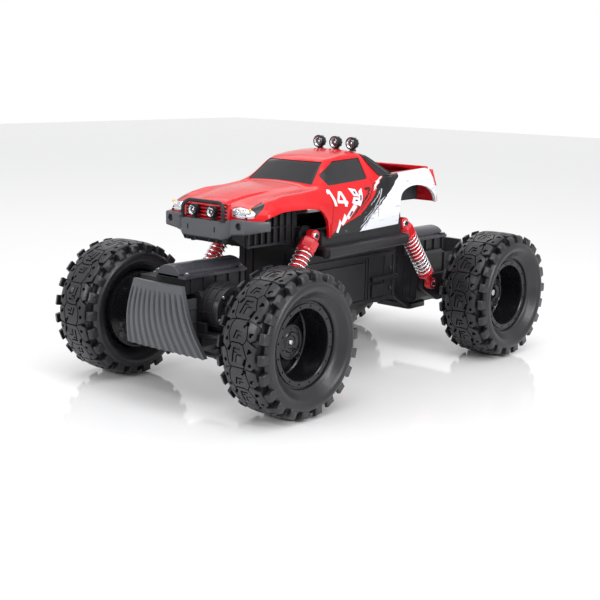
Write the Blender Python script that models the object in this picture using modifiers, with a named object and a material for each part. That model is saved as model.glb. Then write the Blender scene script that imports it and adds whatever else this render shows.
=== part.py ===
"""Remote control rock crawler: a pickup body on a chassis tub, two solid driven axles that roll
on trailing arms, four coil-over shocks, front steering and four knobbly tyres.

Frame: metres, +Z up, the car faces -Y, its left side is +X, origin on the ground below the middle.
"""
import bmesh
import bpy
import numpy as np
from math import cos, pi, radians, sin
from mathutils import Matrix, Vector

# ---------------------------------------------------------------- driving dimensions
WHEELBASE = 0.314
TYRE_RADIUS = 0.0625
TRACK = 0.209            # between the middles of the left and right tyres
TYRE_WIDTH = 0.053
GAP = 0.0003             # clearance between touching pieces

AXLE_Y = WHEELBASE / 2
AXLE_Z = TYRE_RADIUS
WHEEL_X = TRACK / 2

# rims, measured outwards from the middle of the tyre
RIM_RADIUS = 0.0355
RIM_LIP_RADIUS = 0.0367
RIM_WALL = 0.0022
RIM_OUTER = 0.0186
RIM_INNER = -0.0235
HUB_FACE = 0.0008
HUB_THICK = 0.005
SHAFT_RADIUS = 0.003
RIM_WINDOWS = 5

# axle modules, measured from the middle of the axle
CASE_HALF_X = 0.026
CASE_HALF_Y = 0.024
CASE_LOW = -0.020
CASE_TOP = 0.034
CASE_WALL = 0.003
TUBE_RADIUS = 0.0105
KINGPIN_X = 0.069
KINGPIN_RADIUS = 0.0024
MOTOR_RADIUS = 0.0112
MOTOR_Z = 0.0485
STEER_ARM = 0.031        # from the kingpin forward to the tie rod
TIE_ROD_Z = -0.0165
HORN_X = -0.040
HORN_Z = 0.0245

# chassis
ROLL_Z = 0.068           # height of the pivots that the axles roll about
BALL_Y = 0.080
TUB_HALF_X = 0.0375
TUB_FRONT = -0.070
TUB_REAR = 0.078
TUB_LOW = 0.0580
TUB_TOP = 0.1290
TUB_WALL = 0.0025

# shocks
SHOCK_X = 0.052
SHOCK_TOP_Y = 0.0680
SHOCK_TOP_Z = 0.1370
SHOCK_LOW_Y = 0.1205
SHOCK_LOW_Z = 0.0700
SHOCK_BORE = 0.0027
SPRING_TURNS = 5
SPRING_RADIUS = 0.0074
SPRING_WIRE = 0.0009

# body shell: (y, value) pairs along the car, front to back
SHELL_WALL = 0.0016
NOSE_WALL = 0.0050
TOP_Z = [(-0.148, 0.1665), (-0.144, 0.1690), (-0.135, 0.1712), (-0.120, 0.1742), (-0.105, 0.1765), (-0.080, 0.1788),
         (-0.060, 0.1808), (-0.036, 0.2018), (-0.028, 0.2050), (-0.010, 0.2078), (0.010, 0.2092), (0.018, 0.2092),
         (0.0220, 0.2076), (0.027, 0.2066), (0.036, 0.1885), (0.118, 0.1915)]
TOP_X = [(-0.148, 0.0330), (-0.120, 0.0350), (-0.060, 0.0400), (-0.036, 0.0345), (0.025, 0.0340), (0.036, 0.0440),
         (0.118, 0.0440)]
EDGE_DROP = 0.0026       # the top edges lie this much lower than the middle
BELT_Z = [(-0.148, 0.1625), (-0.135, 0.1683), (-0.122, 0.1732), (-0.105, 0.1765), (-0.080, 0.1772), (-0.060, 0.1792),
          (0.025, 0.1830), (0.036, 0.1852), (0.118, 0.1885)]
BELT_X = [(-0.148, 0.0440), (-0.135, 0.0500), (-0.105, 0.0485), (-0.060, 0.0500), (0.025, 0.0500), (0.036, 0.0560),
          (0.118, 0.0540)]
SIDE_X = [(-0.148, 0.0470), (-0.135, 0.0580), (-0.120, 0.0600), (0.105, 0.0600), (0.118, 0.0570)]
LOW_Z = [(-0.148, 0.1450), (-0.056, 0.1345), (0.052, 0.1380), (0.118, 0.1480)]
STATIONS = [-0.148, -0.144, -0.135, -0.122, -0.105, -0.080, -0.060, -0.036, -0.028, -0.010, 0.010, 0.018, 0.022, 0.027, 0.036,
            0.070, 0.105, 0.118]
SIDE_WINDOW = [(-0.0462, 0.1890), (-0.0240, 0.2008), (0.0143, 0.2025), (0.0130, 0.1833), (-0.0445, 0.1803)]
CAB_GAP = 0.0036          # between the shell and the cabin block
CAB_STATIONS = [-0.0440, -0.036, -0.028, -0.010, 0.015, 0.022]
FRONT_ARCH = [(-0.1373, 0.1570), (-0.1210, 0.1608), (-0.0950, 0.1637), (-0.0780, 0.1637), (-0.0680, 0.1600),
              (-0.0607, 0.1513), (-0.0560, 0.1335)]
REAR_ARCH = [(0.0525, 0.1680), (0.0680, 0.1730), (0.0830, 0.1745), (0.0966, 0.1710),
             (0.1075, 0.1640), (0.1130, 0.1560)]
BED_HALF_X = 0.0460
BED_FRONT = 0.0400
BED_REAR = 0.1130
BED_FLOOR = 0.1580

COLOURS = {               # base colour, roughness, metallic
    "red": ((0.62, 0.02, 0.03), 0.25, 0.0),
    "red_plastic": ((0.55, 0.02, 0.02), 0.30, 0.0),
    "charcoal": ((0.030, 0.030, 0.034), 0.50, 0.0),
    "grey": ((0.16, 0.16, 0.17), 0.45, 0.0),
    "window": ((0.010, 0.010, 0.012), 0.08, 0.0),
    "rubber": ((0.020, 0.020, 0.022), 0.65, 0.0),
    "rim": ((0.012, 0.012, 0.014), 0.22, 0.0),
    "steel": ((0.62, 0.62, 0.64), 0.28, 1.0),
    "lens": ((0.85, 0.87, 0.90), 0.05, 0.0),
    "chrome": ((0.80, 0.80, 0.82), 0.10, 1.0),
    "board": ((0.02, 0.16, 0.06), 0.50, 0.0),
    "battery": ((0.05, 0.09, 0.30), 0.40, 0.0),
    "gear": ((0.75, 0.73, 0.68), 0.45, 0.0),
}


# ---------------------------------------------------------------- helpers
def clear_scene():
    for obj in list(bpy.data.objects):
        bpy.data.objects.remove(obj, do_unlink=True)
    for col in list(bpy.data.collections):
        bpy.data.collections.remove(col)


def collection(name):
    col = bpy.data.collections.new(name)
    bpy.context.scene.collection.children.link(col)
    return col


def material(node, colour):
    rgb, rough, metal = COLOURS[colour]
    mat = bpy.data.materials.new(node)
    mat.use_nodes = True
    shader = mat.node_tree.nodes["Principled BSDF"]
    shader.inputs["Base Color"].default_value = (*rgb, 1.0)
    shader.inputs["Roughness"].default_value = rough
    shader.inputs["Metallic"].default_value = metal
    mat.diffuse_color = (*rgb, 1.0)
    return mat


def new_object(name, mesh, parent=None):
    obj = bpy.data.objects.new(name, mesh)
    PARTS.objects.link(obj)
    obj.parent = parent
    return obj


def new_empty(name, location, parent=None, turn=0.0):
    obj = new_object(name, None, parent)
    obj.location = location
    obj.rotation_euler = (0.0, 0.0, turn)
    obj.empty_display_size = 0.02
    return obj


def from_bmesh(name, bm, parent=None):
    mesh = bpy.data.meshes.new(name)
    bm.to_mesh(mesh)
    bm.free()
    return new_object(name, mesh, parent)


def box(name, low, high, parent=None):
    low, high = Vector(low), Vector(high)
    bm = bmesh.new()
    bmesh.ops.create_cube(bm, size=1.0, matrix=Matrix.Diagonal((*(high - low), 1.0)))
    obj = from_bmesh(name, bm, parent)
    obj.location = (low + high) / 2
    return obj


def rod(name, start, end, radius, parent=None, sides=16, radius_end=None):
    start, end = Vector(start), Vector(end)
    bm = bmesh.new()
    bmesh.ops.create_cone(bm, cap_ends=True, segments=sides, radius1=radius,
                          radius2=radius if radius_end is None else radius_end,
                          depth=(end - start).length)
    obj = from_bmesh(name, bm, parent)
    obj.location = (start + end) / 2
    obj.rotation_mode = "QUATERNION"
    obj.rotation_quaternion = (end - start).to_track_quat("Z", "Y")
    smooth(obj)
    return obj


def turned(name, profile, steps, parent=None):
    """Profile of (radius, height) points round local Z, running down the outer side."""
    mesh = bpy.data.meshes.new(name)
    closed = profile[0][0] > 1e-6
    points = [(r, 0.0, h) for r, h in profile]
    edges = [(i, i + 1) for i in range(len(points) - 1)]
    if closed:
        edges.append((len(points) - 1, 0))
    mesh.from_pydata(points, edges, [])
    obj = new_object(name, mesh, parent)
    screw = obj.modifiers.new("turn", "SCREW")
    screw.steps = screw.render_steps = steps
    screw.use_merge_vertices = True
    screw.merge_threshold = 0.00005
    return obj


def outline(name, points, thickness, parent=None):
    """Flat outline in local XY, with its thickness centred on local Z."""
    curve = bpy.data.curves.new(name, "CURVE")
    curve.dimensions = "2D"
    curve.fill_mode = "BOTH"
    curve.extrude = thickness / 2
    spline = curve.splines.new("POLY")
    spline.points.add(len(points) - 1)
    for point, (x, y) in zip(spline.points, points):
        point.co = (x, y, 0.0, 1.0)
    spline.use_cyclic_u = True
    return to_mesh(new_object(name, curve, parent))


def tube(name, points, radius, parent=None, sides=2):
    curve = bpy.data.curves.new(name, "CURVE")
    curve.dimensions = "3D"
    curve.bevel_depth = radius
    curve.bevel_resolution = sides
    curve.use_fill_caps = True
    spline = curve.splines.new("POLY")
    spline.points.add(len(points) - 1)
    for point, place in zip(spline.points, points):
        point.co = (*place, 1.0)
    return to_mesh(new_object(name, curve, parent))


def to_mesh(obj):
    """Turns a curve object into a mesh object with welded caps."""
    bpy.context.view_layer.update()
    mesh = bpy.data.meshes.new_from_object(obj.evaluated_get(bpy.context.evaluated_depsgraph_get()))
    bm = bmesh.new()
    bm.from_mesh(mesh)
    bmesh.ops.remove_doubles(bm, verts=bm.verts, dist=0.00002)
    bmesh.ops.recalc_face_normals(bm, faces=bm.faces)
    bm.to_mesh(mesh)
    bm.free()
    name, parent, matrix = obj.name, obj.parent, obj.matrix_basis.copy()
    bpy.data.objects.remove(obj)
    out = new_object(name, mesh, parent)
    out.matrix_basis = matrix
    return out


def smooth(obj, angle=35):
    obj.data.shade_smooth()
    obj.data.set_sharp_from_angle(angle=radians(angle))


def boolean(obj, tool, operation):
    mod = obj.modifiers.new(tool.name, "BOOLEAN")
    mod.operation = operation
    mod.solver = "EXACT"
    mod.object = tool
    PARTS.objects.unlink(tool)
    CUTTERS.objects.link(tool)
    tool.hide_render = True
    tool.display_type = "WIRE"


def add(obj, *tools):
    for tool in tools:
        boolean(obj, tool, "UNION")


def cut(obj, *tools):
    for tool in tools:
        boolean(obj, tool, "DIFFERENCE")


def bevel(obj, width, segments=1):
    mod = obj.modifiers.new("edges", "BEVEL")
    mod.width = width
    mod.segments = segments
    mod.limit_method = "ANGLE"
    mod.angle_limit = radians(40)


def finish(obj, colour):
    obj.data.materials.clear()
    obj.data.materials.append(material(obj.name, colour))
    return obj


def along(table, y):
    return float(np.interp(y, [p[0] for p in table], [p[1] for p in table]))


def mirrored(points):
    return points + [(-x, y) for x, y in reversed(points)]


# ---------------------------------------------------------------- wheels
def facing_x(angle=0.0):
    """Turns local Z to +X; the angle is a turn about that axis first."""
    return Matrix.Rotation(pi / 2, 4, "Y") @ Matrix.Rotation(angle, 4, "Z")


def tyre(name, hub):
    """Hollow tyre, open at the bead."""
    steps = 24
    radius = TYRE_RADIUS / cos(pi / steps)          # a flat facet lies on the ground
    outer = [(0.0370, 0.0178), (0.0500, TYRE_WIDTH / 2), (0.0602, 0.0225), (radius, 0.0150)]
    inner = [(radius - 0.0040, 0.0138), (0.0500, 0.0233), (0.0370, 0.0150)]
    profile = outer + [(r, -h) for r, h in reversed(outer)] + [(r, -h) for r, h in reversed(inner)] + inner
    obj = turned(name, profile, steps, hub)
    obj.matrix_basis = facing_x(pi / steps)
    return finish(obj, "rubber")


def rim(name, hub):
    back = HUB_FACE - HUB_THICK
    bore = SHAFT_RADIUS + GAP
    profile = [(0.0302, RIM_OUTER), (RIM_LIP_RADIUS, RIM_OUTER), (RIM_RADIUS, RIM_OUTER - 0.0026),
               (RIM_RADIUS, RIM_INNER), (RIM_RADIUS - RIM_WALL, RIM_INNER), (RIM_RADIUS - RIM_WALL, back),
               (bore, back), (bore, HUB_FACE), (0.0325, HUB_FACE)]
    obj = turned(name, profile, 20, hub)
    obj.matrix_basis = facing_x()
    for i in range(RIM_WINDOWS):
        a = 2 * pi * i / RIM_WINDOWS + 0.13
        y, z = 0.0215 * cos(a), 0.0215 * sin(a)
        cut(obj, rod(f"{name}_window_{i}", (back - 0.002, y, z), (HUB_FACE + 0.002, y, z), 0.0068, hub, 6))
    return finish(obj, "rim")


def nut(name, parent, x, sign):
    return rod(name, (x, 0, 0), (x + sign * 0.0035, 0, 0), 0.0048, parent, 6)


def wheel(name, side, end, parent):
    """A wheel's empty faces outwards along its own +X."""
    turn = 0.0 if side > 0 else pi
    hub = new_empty(f"{name}_wheel_axis", (side * WHEEL_X, end * AXLE_Y, AXLE_Z), None, turn)
    hub.parent = parent
    tyre(f"{name}_tyre", hub)
    rim(f"{name}_rim", hub)
    return hub


def stub_shaft(name, hub):
    inner = KINGPIN_X - WHEEL_X - 0.004
    obj = rod(name, (inner, 0, 0), (HUB_FACE + 0.002, 0, 0), SHAFT_RADIUS, hub, 12)
    add(obj, nut(f"{name}_nut", hub, HUB_FACE + GAP, 1))
    return finish(obj, "steel")


def gear(name, parent, radius, width, x, teeth):
    """Spur gear about X with square teeth."""
    steps = 4 * teeth
    points = []
    for i in range(steps):
        r = radius if i % 4 in (0, 1) else radius - 0.0022
        a = 2 * pi * i / steps
        points.append((r * cos(a), r * sin(a)))
    obj = outline(name, points, width, parent)
    obj.rotation_euler = (pi / 2, 0, pi / 2)
    obj.location = (x, 0, 0)
    return obj


def drive_shaft(name, parent, reach, with_nuts):
    """Final gear on the shaft that runs through the axle tubes."""
    obj = gear(name, parent, 0.0155, 0.006, -0.006, 10)
    add(obj, rod(f"{name}_bar", (-reach, 0, 0), (reach, 0, 0), SHAFT_RADIUS, parent, 10))
    if with_nuts:
        face = WHEEL_X + HUB_FACE + GAP
        add(obj, nut(f"{name}_nut_a", parent, face, 1), nut(f"{name}_nut_b", parent, -face, -1))
    return finish(obj, "steel")


# ---------------------------------------------------------------- axle modules
def gearcase(name, axle, steered):
    half_x, half_y = CASE_HALF_X, CASE_HALF_Y
    obj = box(name, (-half_x, -half_y, CASE_LOW), (half_x, half_y, CASE_TOP), axle)
    drum = (-0.004, 0.018)
    add(obj, rod(f"{name}_drum", (half_x - 0.002, *drum), (0.047, *drum), 0.0225, axle, 20))
    reach = 0.058 if steered else 0.079
    for side in (1, -1):
        add(obj, rod(f"{name}_tube_{side}", (side * 0.020, 0, 0), (side * reach, 0, 0), TUBE_RADIUS, axle, 12))
        low_eye = (SHOCK_LOW_Z - AXLE_Z, AXLE_Y - SHOCK_LOW_Y)
        add(obj, box(f"{name}_bracket_{side}", (min(side * 0.0420, side * 0.0465), -0.0130, -0.0140),
                     (max(side * 0.0420, side * 0.0465), low_eye[1] + 0.005, 0.0150), axle))
        add(obj, rod(f"{name}_pin_{side}", (side * 0.0440, low_eye[1], low_eye[0]),
                     (side * 0.0575, low_eye[1], low_eye[0]), 0.0020, axle, 8))
        if steered:
            for up in (1, -1):
                ear = box(f"{name}_ear_{side}_{up}", (min(side * 0.0560, side * 0.0740), -0.0065, min(up * 0.0106, up * 0.0150)),
                          (max(side * 0.0560, side * 0.0740), 0.0065, max(up * 0.0106, up * 0.0150)), axle)
                add(obj, ear)
            add(obj, box(f"{name}_yoke_{side}", (min(side * 0.0555, side * 0.0590), -0.0090, -0.0150),
                         (max(side * 0.0555, side * 0.0590), 0.0090, 0.0150), axle))
    cradle = box(f"{name}_cradle", (-0.0140, -half_y, CASE_TOP - 0.002), (0.0140, half_y + 0.006, MOTOR_Z - 0.0033), axle)
    add(obj, cradle)
    wall = CASE_WALL
    cut(obj, box(f"{name}_cavity", (-half_x + wall, -half_y + wall, CASE_LOW + wall),
                 (half_x - wall, half_y - wall, CASE_TOP - wall), axle))
    cut(obj, rod(f"{name}_drum_cavity", (half_x - wall - 0.002, *drum), (0.047 - wall, *drum), 0.0225 - wall, axle, 12))
    cut(obj, rod(f"{name}_bore", (-0.10, 0, 0), (0.10, 0, 0), SHAFT_RADIUS + 0.0008, axle, 8))
    cut(obj, rod(f"{name}_motor_room", (0, -0.05, MOTOR_Z), (0, 0.05, MOTOR_Z), MOTOR_RADIUS + 0.0005, axle, 20))
    if steered:
        for side in (1, -1):
            x = side * KINGPIN_X
            cut(obj, rod(f"{name}_kingpin_hole_{side}", (x, 0, -0.02), (x, 0, 0.02), KINGPIN_RADIUS + 0.0005, axle, 8))
    return finish(obj, "charcoal")


def motor(name, axle):
    obj = rod(name, (0, -0.030, MOTOR_Z), (0, 0.030, MOTOR_Z), MOTOR_RADIUS, axle, 16)
    add(obj, rod(f"{name}_boss", (0, -0.033, MOTOR_Z), (0, -0.028, MOTOR_Z), 0.0045, axle, 12))
    return finish(obj, "steel")


def motor_cover(name, axle):
    inner, outer = MOTOR_RADIUS + 0.0006, MOTOR_RADIUS + 0.0030
    obj = rod(name, (0, -0.038, MOTOR_Z), (0, 0.038, MOTOR_Z), outer, axle, 20)
    add(obj, box(f"{name}_flange", (-0.0195, -0.038, MOTOR_Z - 0.0030), (0.0195, 0.038, MOTOR_Z + 0.0005), axle))
    cut(obj, rod(f"{name}_room", (0, -0.0355, MOTOR_Z), (0, 0.0355, MOTOR_Z), inner, axle, 20))
    cut(obj, box(f"{name}_under", (-0.03, -0.05, MOTOR_Z - 0.03), (0.03, 0.05, MOTOR_Z - 0.0030), axle))
    cut(obj, box(f"{name}_slot", (-inner, -0.0355, MOTOR_Z - 0.02), (inner, 0.0355, MOTOR_Z), axle))
    return finish(obj, "charcoal")


def skid_plate(name, axle):
    """Curved plate across the outer end, wider at the bottom, on two cheeks."""
    top, low = 0.0425, -0.0175
    bm = bmesh.new()
    bmesh.ops.create_grid(bm, x_segments=4, y_segments=6, size=0.5)
    for vert in bm.verts:
        t = 0.5 - vert.co.y                        # 0 at the top edge, 1 at the bottom edge
        half = 0.0300 + 0.0186 * t
        vert.co = Vector((2 * half * vert.co.x, -0.0510 + 0.0085 * t - 0.0060 * sin(pi * t), top + (low - top) * t))
    bmesh.ops.recalc_face_normals(bm, faces=bm.faces)
    obj = from_bmesh(name, bm, axle)
    shell = obj.modifiers.new("thickness", "SOLIDIFY")
    shell.thickness = 0.003
    shell.offset = 0.0
    for side in (1, -1):
        add(obj, box(f"{name}_cheek_{side}", (side * 0.0195 - 0.0015, -0.0500, -0.0120),
                     (side * 0.0195 + 0.0015, -CASE_HALF_Y - GAP, 0.0280), axle))
    return finish(obj, "grey")


def trailing_arm(name, axle):
    """A-frame from a foot under the gearcase to the roll pivot on the chassis."""
    pin_z = ROLL_Z - AXLE_Z
    apex_y = AXLE_Y - BALL_Y - 0.012
    foot_y, foot_z = 0.028, CASE_LOW - 0.0030
    slope = float(np.arctan2(pin_z - foot_z, apex_y - foot_y))
    length = (apex_y - foot_y) / cos(slope)
    obj = outline(name, mirrored([(0.0210, -0.003), (0.0200, 0.008), (0.0060, length)]), 0.0045, axle)
    window = outline(f"{name}_window", mirrored([(0.0135, 0.006), (0.0030, length - 0.010)]), 0.02, axle)
    for piece in (obj, window):
        piece.location = (0, foot_y, foot_z)
        piece.rotation_euler = (slope, 0, 0)
    add(obj, box(f"{name}_foot", (-0.0220, 0.0, foot_z - 0.0026), (0.0220, 0.030, CASE_LOW - GAP), axle))
    add(obj, rod(f"{name}_knuckle", (0, apex_y - 0.006, pin_z), (0, apex_y + 0.002, pin_z), 0.0075, axle, 12))
    add(obj, rod(f"{name}_pin", (0, apex_y, pin_z), (0, apex_y + 0.016, pin_z), 0.0040, axle, 12))
    cut(obj, window)
    return finish(obj, "charcoal")


def knuckle(name, side, pivot):
    """Pivot is the kingpin's empty; local x runs outwards along the car's side."""
    s = side
    obj = box(name, (-0.0045, -0.0070, -0.0100), (0.0045, 0.0070, 0.0100), pivot)
    spindle = WHEEL_X - KINGPIN_X - HUB_THICK - 0.0010
    add(obj, rod(f"{name}_kingpin", (0, 0, -0.0165), (0, 0, 0.0165), KINGPIN_RADIUS, pivot, 12))
    add(obj, rod(f"{name}_spindle", (s * 0.002, 0, 0), (s * spindle, 0, 0), 0.0065, pivot, 12))
    add(obj, box(f"{name}_arm", (-0.0035, -STEER_ARM - 0.004, -0.0095), (0.0035, -0.004, -0.0055), pivot))
    cut(obj, rod(f"{name}_bore", (-0.04, 0, 0), (0.04, 0, 0), SHAFT_RADIUS + 0.0004, pivot, 12))
    return finish(obj, "charcoal")


def tie_rod(name, axle):
    z = TIE_ROD_Z
    obj = rod(name, (-KINGPIN_X + 0.003, -STEER_ARM, z), (KINGPIN_X - 0.003, -STEER_ARM, z), 0.0020, axle, 12)
    for side in (1, -1):
        x = side * KINGPIN_X
        add(obj, rod(f"{name}_eye_{side}", (x, -STEER_ARM, z - 0.0030), (x, -STEER_ARM, z + 0.0062), 0.0045, axle, 12))
    return finish(obj, "charcoal")


def steering_servo(name, axle):
    obj = box(name, (-0.0540, -CASE_HALF_Y, 0.0170), (-CASE_HALF_X - GAP, 0.0150, 0.0400), axle)
    bevel(obj, 0.001)
    return finish(obj, "charcoal")


def servo_horn(name, pivot):
    """Hangs from the servo's output, just inboard of the tie rod."""
    tip = TIE_ROD_Z - HORN_Z
    obj = outline(name, [(-0.0045, 0.0030), (-0.0030, tip), (0.0030, tip), (0.0045, 0.0030)], 0.0020, pivot)
    obj.rotation_euler = (pi / 2, 0, 0)
    return finish(obj, "grey")


# ---------------------------------------------------------------- shocks
def shock(name, side, end):
    """Coil-over shock between the chassis tower and the axle bracket."""
    top = Vector((side * SHOCK_X, end * SHOCK_TOP_Y, SHOCK_TOP_Z))
    low = Vector((side * SHOCK_X, end * SHOCK_LOW_Y, SHOCK_LOW_Z))
    length = (low - top).length
    pivot = new_empty(f"{name}_pivot", top)
    down = (low - top).normalized()
    across = Vector((1, 0, 0))
    pivot.rotation_mode = "QUATERNION"
    pivot.rotation_quaternion = Matrix((across, down.cross(across), down)).transposed().to_quaternion()
    # local z runs from the top eye to the lower eye
    body = turned(f"{name}_body", [(0.0, 0.0502), (SHOCK_BORE + 0.0001, 0.0501), (0.0050, 0.0500), (0.0050, 0.0140), (0.0080, 0.0140),
                                   (0.0080, 0.0070), (0.0050, 0.0045), (0.0, 0.0045)], 10, pivot)
    add(body, rod(f"{name}_top_eye", (-0.003, 0, 0), (0.003, 0, 0), 0.0055, pivot, 12))
    cut(body, rod(f"{name}_top_hole", (-0.01, 0, 0), (0.01, 0, 0), 0.0024, pivot, 8))
    cut(body, rod(f"{name}_body_bore", (0, 0, 0.0120), (0, 0, 0.06), SHOCK_BORE, pivot, 12))
    finish(body, "red_plastic")
    stem = turned(f"{name}_rod", [(0.0, length), (0.0030, length), (0.0030, 0.0740), (0.0085, 0.0712), (0.0085, 0.0680),
                                  (0.0020, 0.0678), (0.0020, 0.0240), (0.0, 0.0240)], 10, pivot)
    add(stem, rod(f"{name}_low_eye", (-0.003, 0, length), (0.003, 0, length), 0.0058, pivot, 12))
    cut(stem, rod(f"{name}_low_hole", (-0.01, 0, length), (0.01, 0, length), 0.0040, pivot, 12))
    finish(stem, "steel")
    start, stop = 0.0143 + SPRING_WIRE, 0.0677 - SPRING_WIRE
    count = 8 * SPRING_TURNS
    coil = [(SPRING_RADIUS * cos(2 * pi * i / 8), SPRING_RADIUS * sin(2 * pi * i / 8),
             start + (stop - start) * i / count) for i in range(count + 1)]
    finish(tube(f"{name}_spring", coil, SPRING_WIRE, pivot, 1), "chrome")


# ---------------------------------------------------------------- chassis
def chassis_tub():
    obj = box("chassis_tub", (-TUB_HALF_X, TUB_FRONT, TUB_LOW), (TUB_HALF_X, TUB_REAR, TUB_TOP))
    cut(obj, box("tub_inside", (-TUB_HALF_X + TUB_WALL, TUB_FRONT + TUB_WALL, TUB_LOW + TUB_WALL),
                 (TUB_HALF_X - TUB_WALL, TUB_REAR - TUB_WALL, TUB_TOP + 0.01)))
    for end in (-1, 1):
        y = end * SHOCK_TOP_Y
        add(obj, box(f"tower_{end}", (-0.0430, y - 0.006, 0.1180), (0.0430, y + 0.006, 0.1430)))
        post_x, post_top = (0.020, 0.1700) if end < 0 else (0.028, BED_FLOOR - 0.0025)
        for side in (1, -1):
            add(obj, rod(f"tower_pin_{end}_{side}", (side * 0.0415, y, SHOCK_TOP_Z), (side * 0.058, y, SHOCK_TOP_Z), 0.0020, None, 8))
            add(obj, rod(f"body_post_{end}_{side}", (side * post_x, y, 0.140), (side * post_x, y, post_top), 0.003, None, 8))
        edge = TUB_FRONT if end < 0 else TUB_REAR
        socket_y = sorted((edge - end * 0.002, end * (BALL_Y + 0.0095)))
        add(obj, box(f"socket_{end}", (-0.009, socket_y[0], ROLL_Z - 0.009), (0.009, socket_y[1], ROLL_Z + 0.009)))
    add(obj, box("nose_deck", (-0.030, -0.135, 0.1330), (0.030, -0.068, 0.1387)))
    for x in (-0.024, 0.024):
        for y in (-0.040, 0.050):
            add(obj, rod(f"board_post_{x}_{y}", (x, y, TUB_LOW + 0.001), (x, y, 0.0947), 0.002, None, 8))
    for end in (-1, 1):
        edge = end * 0.068
        cut(obj, rod(f"socket_bore_{end}", (0, edge - end * 0.004, ROLL_Z), (0, edge + end * 0.04, ROLL_Z), 0.0044))
    cut(obj, box("battery_mouth", (-0.0215, -0.0365, TUB_LOW - 0.01), (0.0215, 0.0465, TUB_LOW + 0.01)))
    cut(obj, box("switch_mouth", (0.0255, 0.0535, TUB_LOW - 0.01), (0.0325, 0.0660, TUB_LOW + 0.01)))
    return finish(obj, "charcoal")


def battery_door():
    pivot = new_empty("battery_door_hinge", (-0.0205, 0.005, TUB_LOW + 0.001))
    obj = box("battery_door", (0.0, -0.0405, -0.0009), (0.0410, 0.0405, 0.0009), pivot)
    return finish(obj, "charcoal")


def battery_pack():
    obj = box("battery_pack", (-0.0180, -0.0340, 0.0625), (0.0180, 0.0440, 0.0850))
    bevel(obj, 0.003, 2)
    return finish(obj, "battery")


def circuit_board():
    obj = box("circuit_board", (-0.0300, -0.0480, 0.0950), (0.0300, 0.0580, 0.0966))
    add(obj, box("board_chip", (-0.008, -0.010, 0.0960), (0.006, 0.006, 0.0990)))
    add(obj, box("board_plug", (0.014, 0.030, 0.0960), (0.026, 0.042, 0.1040)))
    add(obj, rod("board_capacitor", (-0.018, 0.035, 0.0960), (-0.018, 0.035, 0.1060), 0.004, None, 12))
    return finish(obj, "board")


def power_switch():
    pivot = new_empty("power_switch_slide", (0.0290, 0.0580, TUB_LOW))
    obj = box("power_switch", (-0.0025, -0.0022, -0.0025), (0.0025, 0.0022, 0.0035), pivot)
    add(obj, box("switch_flange", (-0.0045, -0.0050, 0.0029), (0.0045, 0.0050, 0.0042), pivot))
    return finish(obj, "charcoal")


def side_step(name, side):
    x = sorted((side * 0.0540, side * 0.0585))
    top_x = sorted((side * (TUB_HALF_X + GAP), side * 0.0585))
    obj = box(name, (x[0], -0.058, 0.1080), (x[1], 0.062, 0.1270))
    add(obj, box(f"{name}_shelf", (top_x[0], -0.050, 0.1140), (top_x[1], 0.054, 0.1185)))
    return finish(obj, "charcoal")


# ---------------------------------------------------------------- body
def section(y, inset=0.0):
    """Half section of the shell at y, from the middle of the top down to the sill."""
    top_z, top_x = along(TOP_Z, y) - inset, along(TOP_X, y) - inset
    belt_x, belt_z = along(BELT_X, y) - inset, along(BELT_Z, y) - inset / 2
    side_x, low_z = along(SIDE_X, y) - inset, along(LOW_Z, y)
    fall = belt_z - low_z
    return [(0.0, top_z), (0.55 * top_x, top_z - 0.3 * EDGE_DROP), (top_x, top_z - EDGE_DROP),
            (belt_x, belt_z), (side_x, belt_z - 0.3 * fall), (side_x, low_z + 0.25 * fall),
            (side_x - 0.0015, low_z)]


def lofted(name, stations, inset, floor=None):
    """Closed solid through the sections at the stations; a floor height lengthens its sides down to it."""
    bm = bmesh.new()
    rows = []
    for y in stations:
        half = section(y, inset)
        if floor is not None:
            half = [p for p in half if p[1] > floor + 0.001]
            half.append((half[-1][0], floor))
        rows.append([bm.verts.new((x, y, z)) for x, z in half + [(-x, z) for x, z in reversed(half[1:])]])
    for near, far in zip(rows, rows[1:]):
        for i in range(len(near)):
            j = (i + 1) % len(near)
            bm.faces.new((near[i], far[i], far[j], near[j]))
    bm.faces.new(rows[0])
    bm.faces.new(list(reversed(rows[-1])))
    bmesh.ops.recalc_face_normals(bm, faces=bm.faces)
    return from_bmesh(name, bm)


def body_shell():
    obj = lofted("body_shell", STATIONS, 0.0)
    inside = [STATIONS[0] + NOSE_WALL] + STATIONS[2:-1] + [STATIONS[-1] - SHELL_WALL]
    cut(obj, lofted("shell_inside", inside, SHELL_WALL, 0.1200))
    cut(obj, side_prism("front_arches", [(-0.1373, 0.11)] + FRONT_ARCH + [(-0.0560, 0.11)]))
    cut(obj, side_prism("rear_arches", [(0.0525, 0.11)] + REAR_ARCH + [(0.13, 0.155), (0.13, 0.11)]))
    cut(obj, side_prism("side_windows", SIDE_WINDOW))
    cut(obj, windscreen_cutter())
    cut(obj, box("bed_mouth", (-BED_HALF_X, BED_FRONT, 0.150), (BED_HALF_X, BED_REAR, 0.21)))
    cut(obj, headlight_box("headlight_mouth", 1, GAP), headlight_box("headlight_mouth_right", -1, GAP))
    return finish(obj, "red")


def side_prism(name, points):
    """Outline in (y, z) that runs right across the car."""
    obj = outline(name, points, 0.30)
    obj.rotation_euler = (pi / 2, 0, pi / 2)
    return obj


def windscreen_cutter():
    obj = outline("windscreen_mouth", mirrored([(0.0390, 0.1812), (0.0315, 0.2000)]), 0.05)
    obj.rotation_euler = (pi / 2, 0, 0)
    obj.location = (0, -0.052, 0)
    return obj


def window_insert():
    """Dark cabin block that shows through the window openings."""
    return finish(lofted("window_insert", CAB_STATIONS, SHELL_WALL + CAB_GAP, 0.1740), "window")


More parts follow.
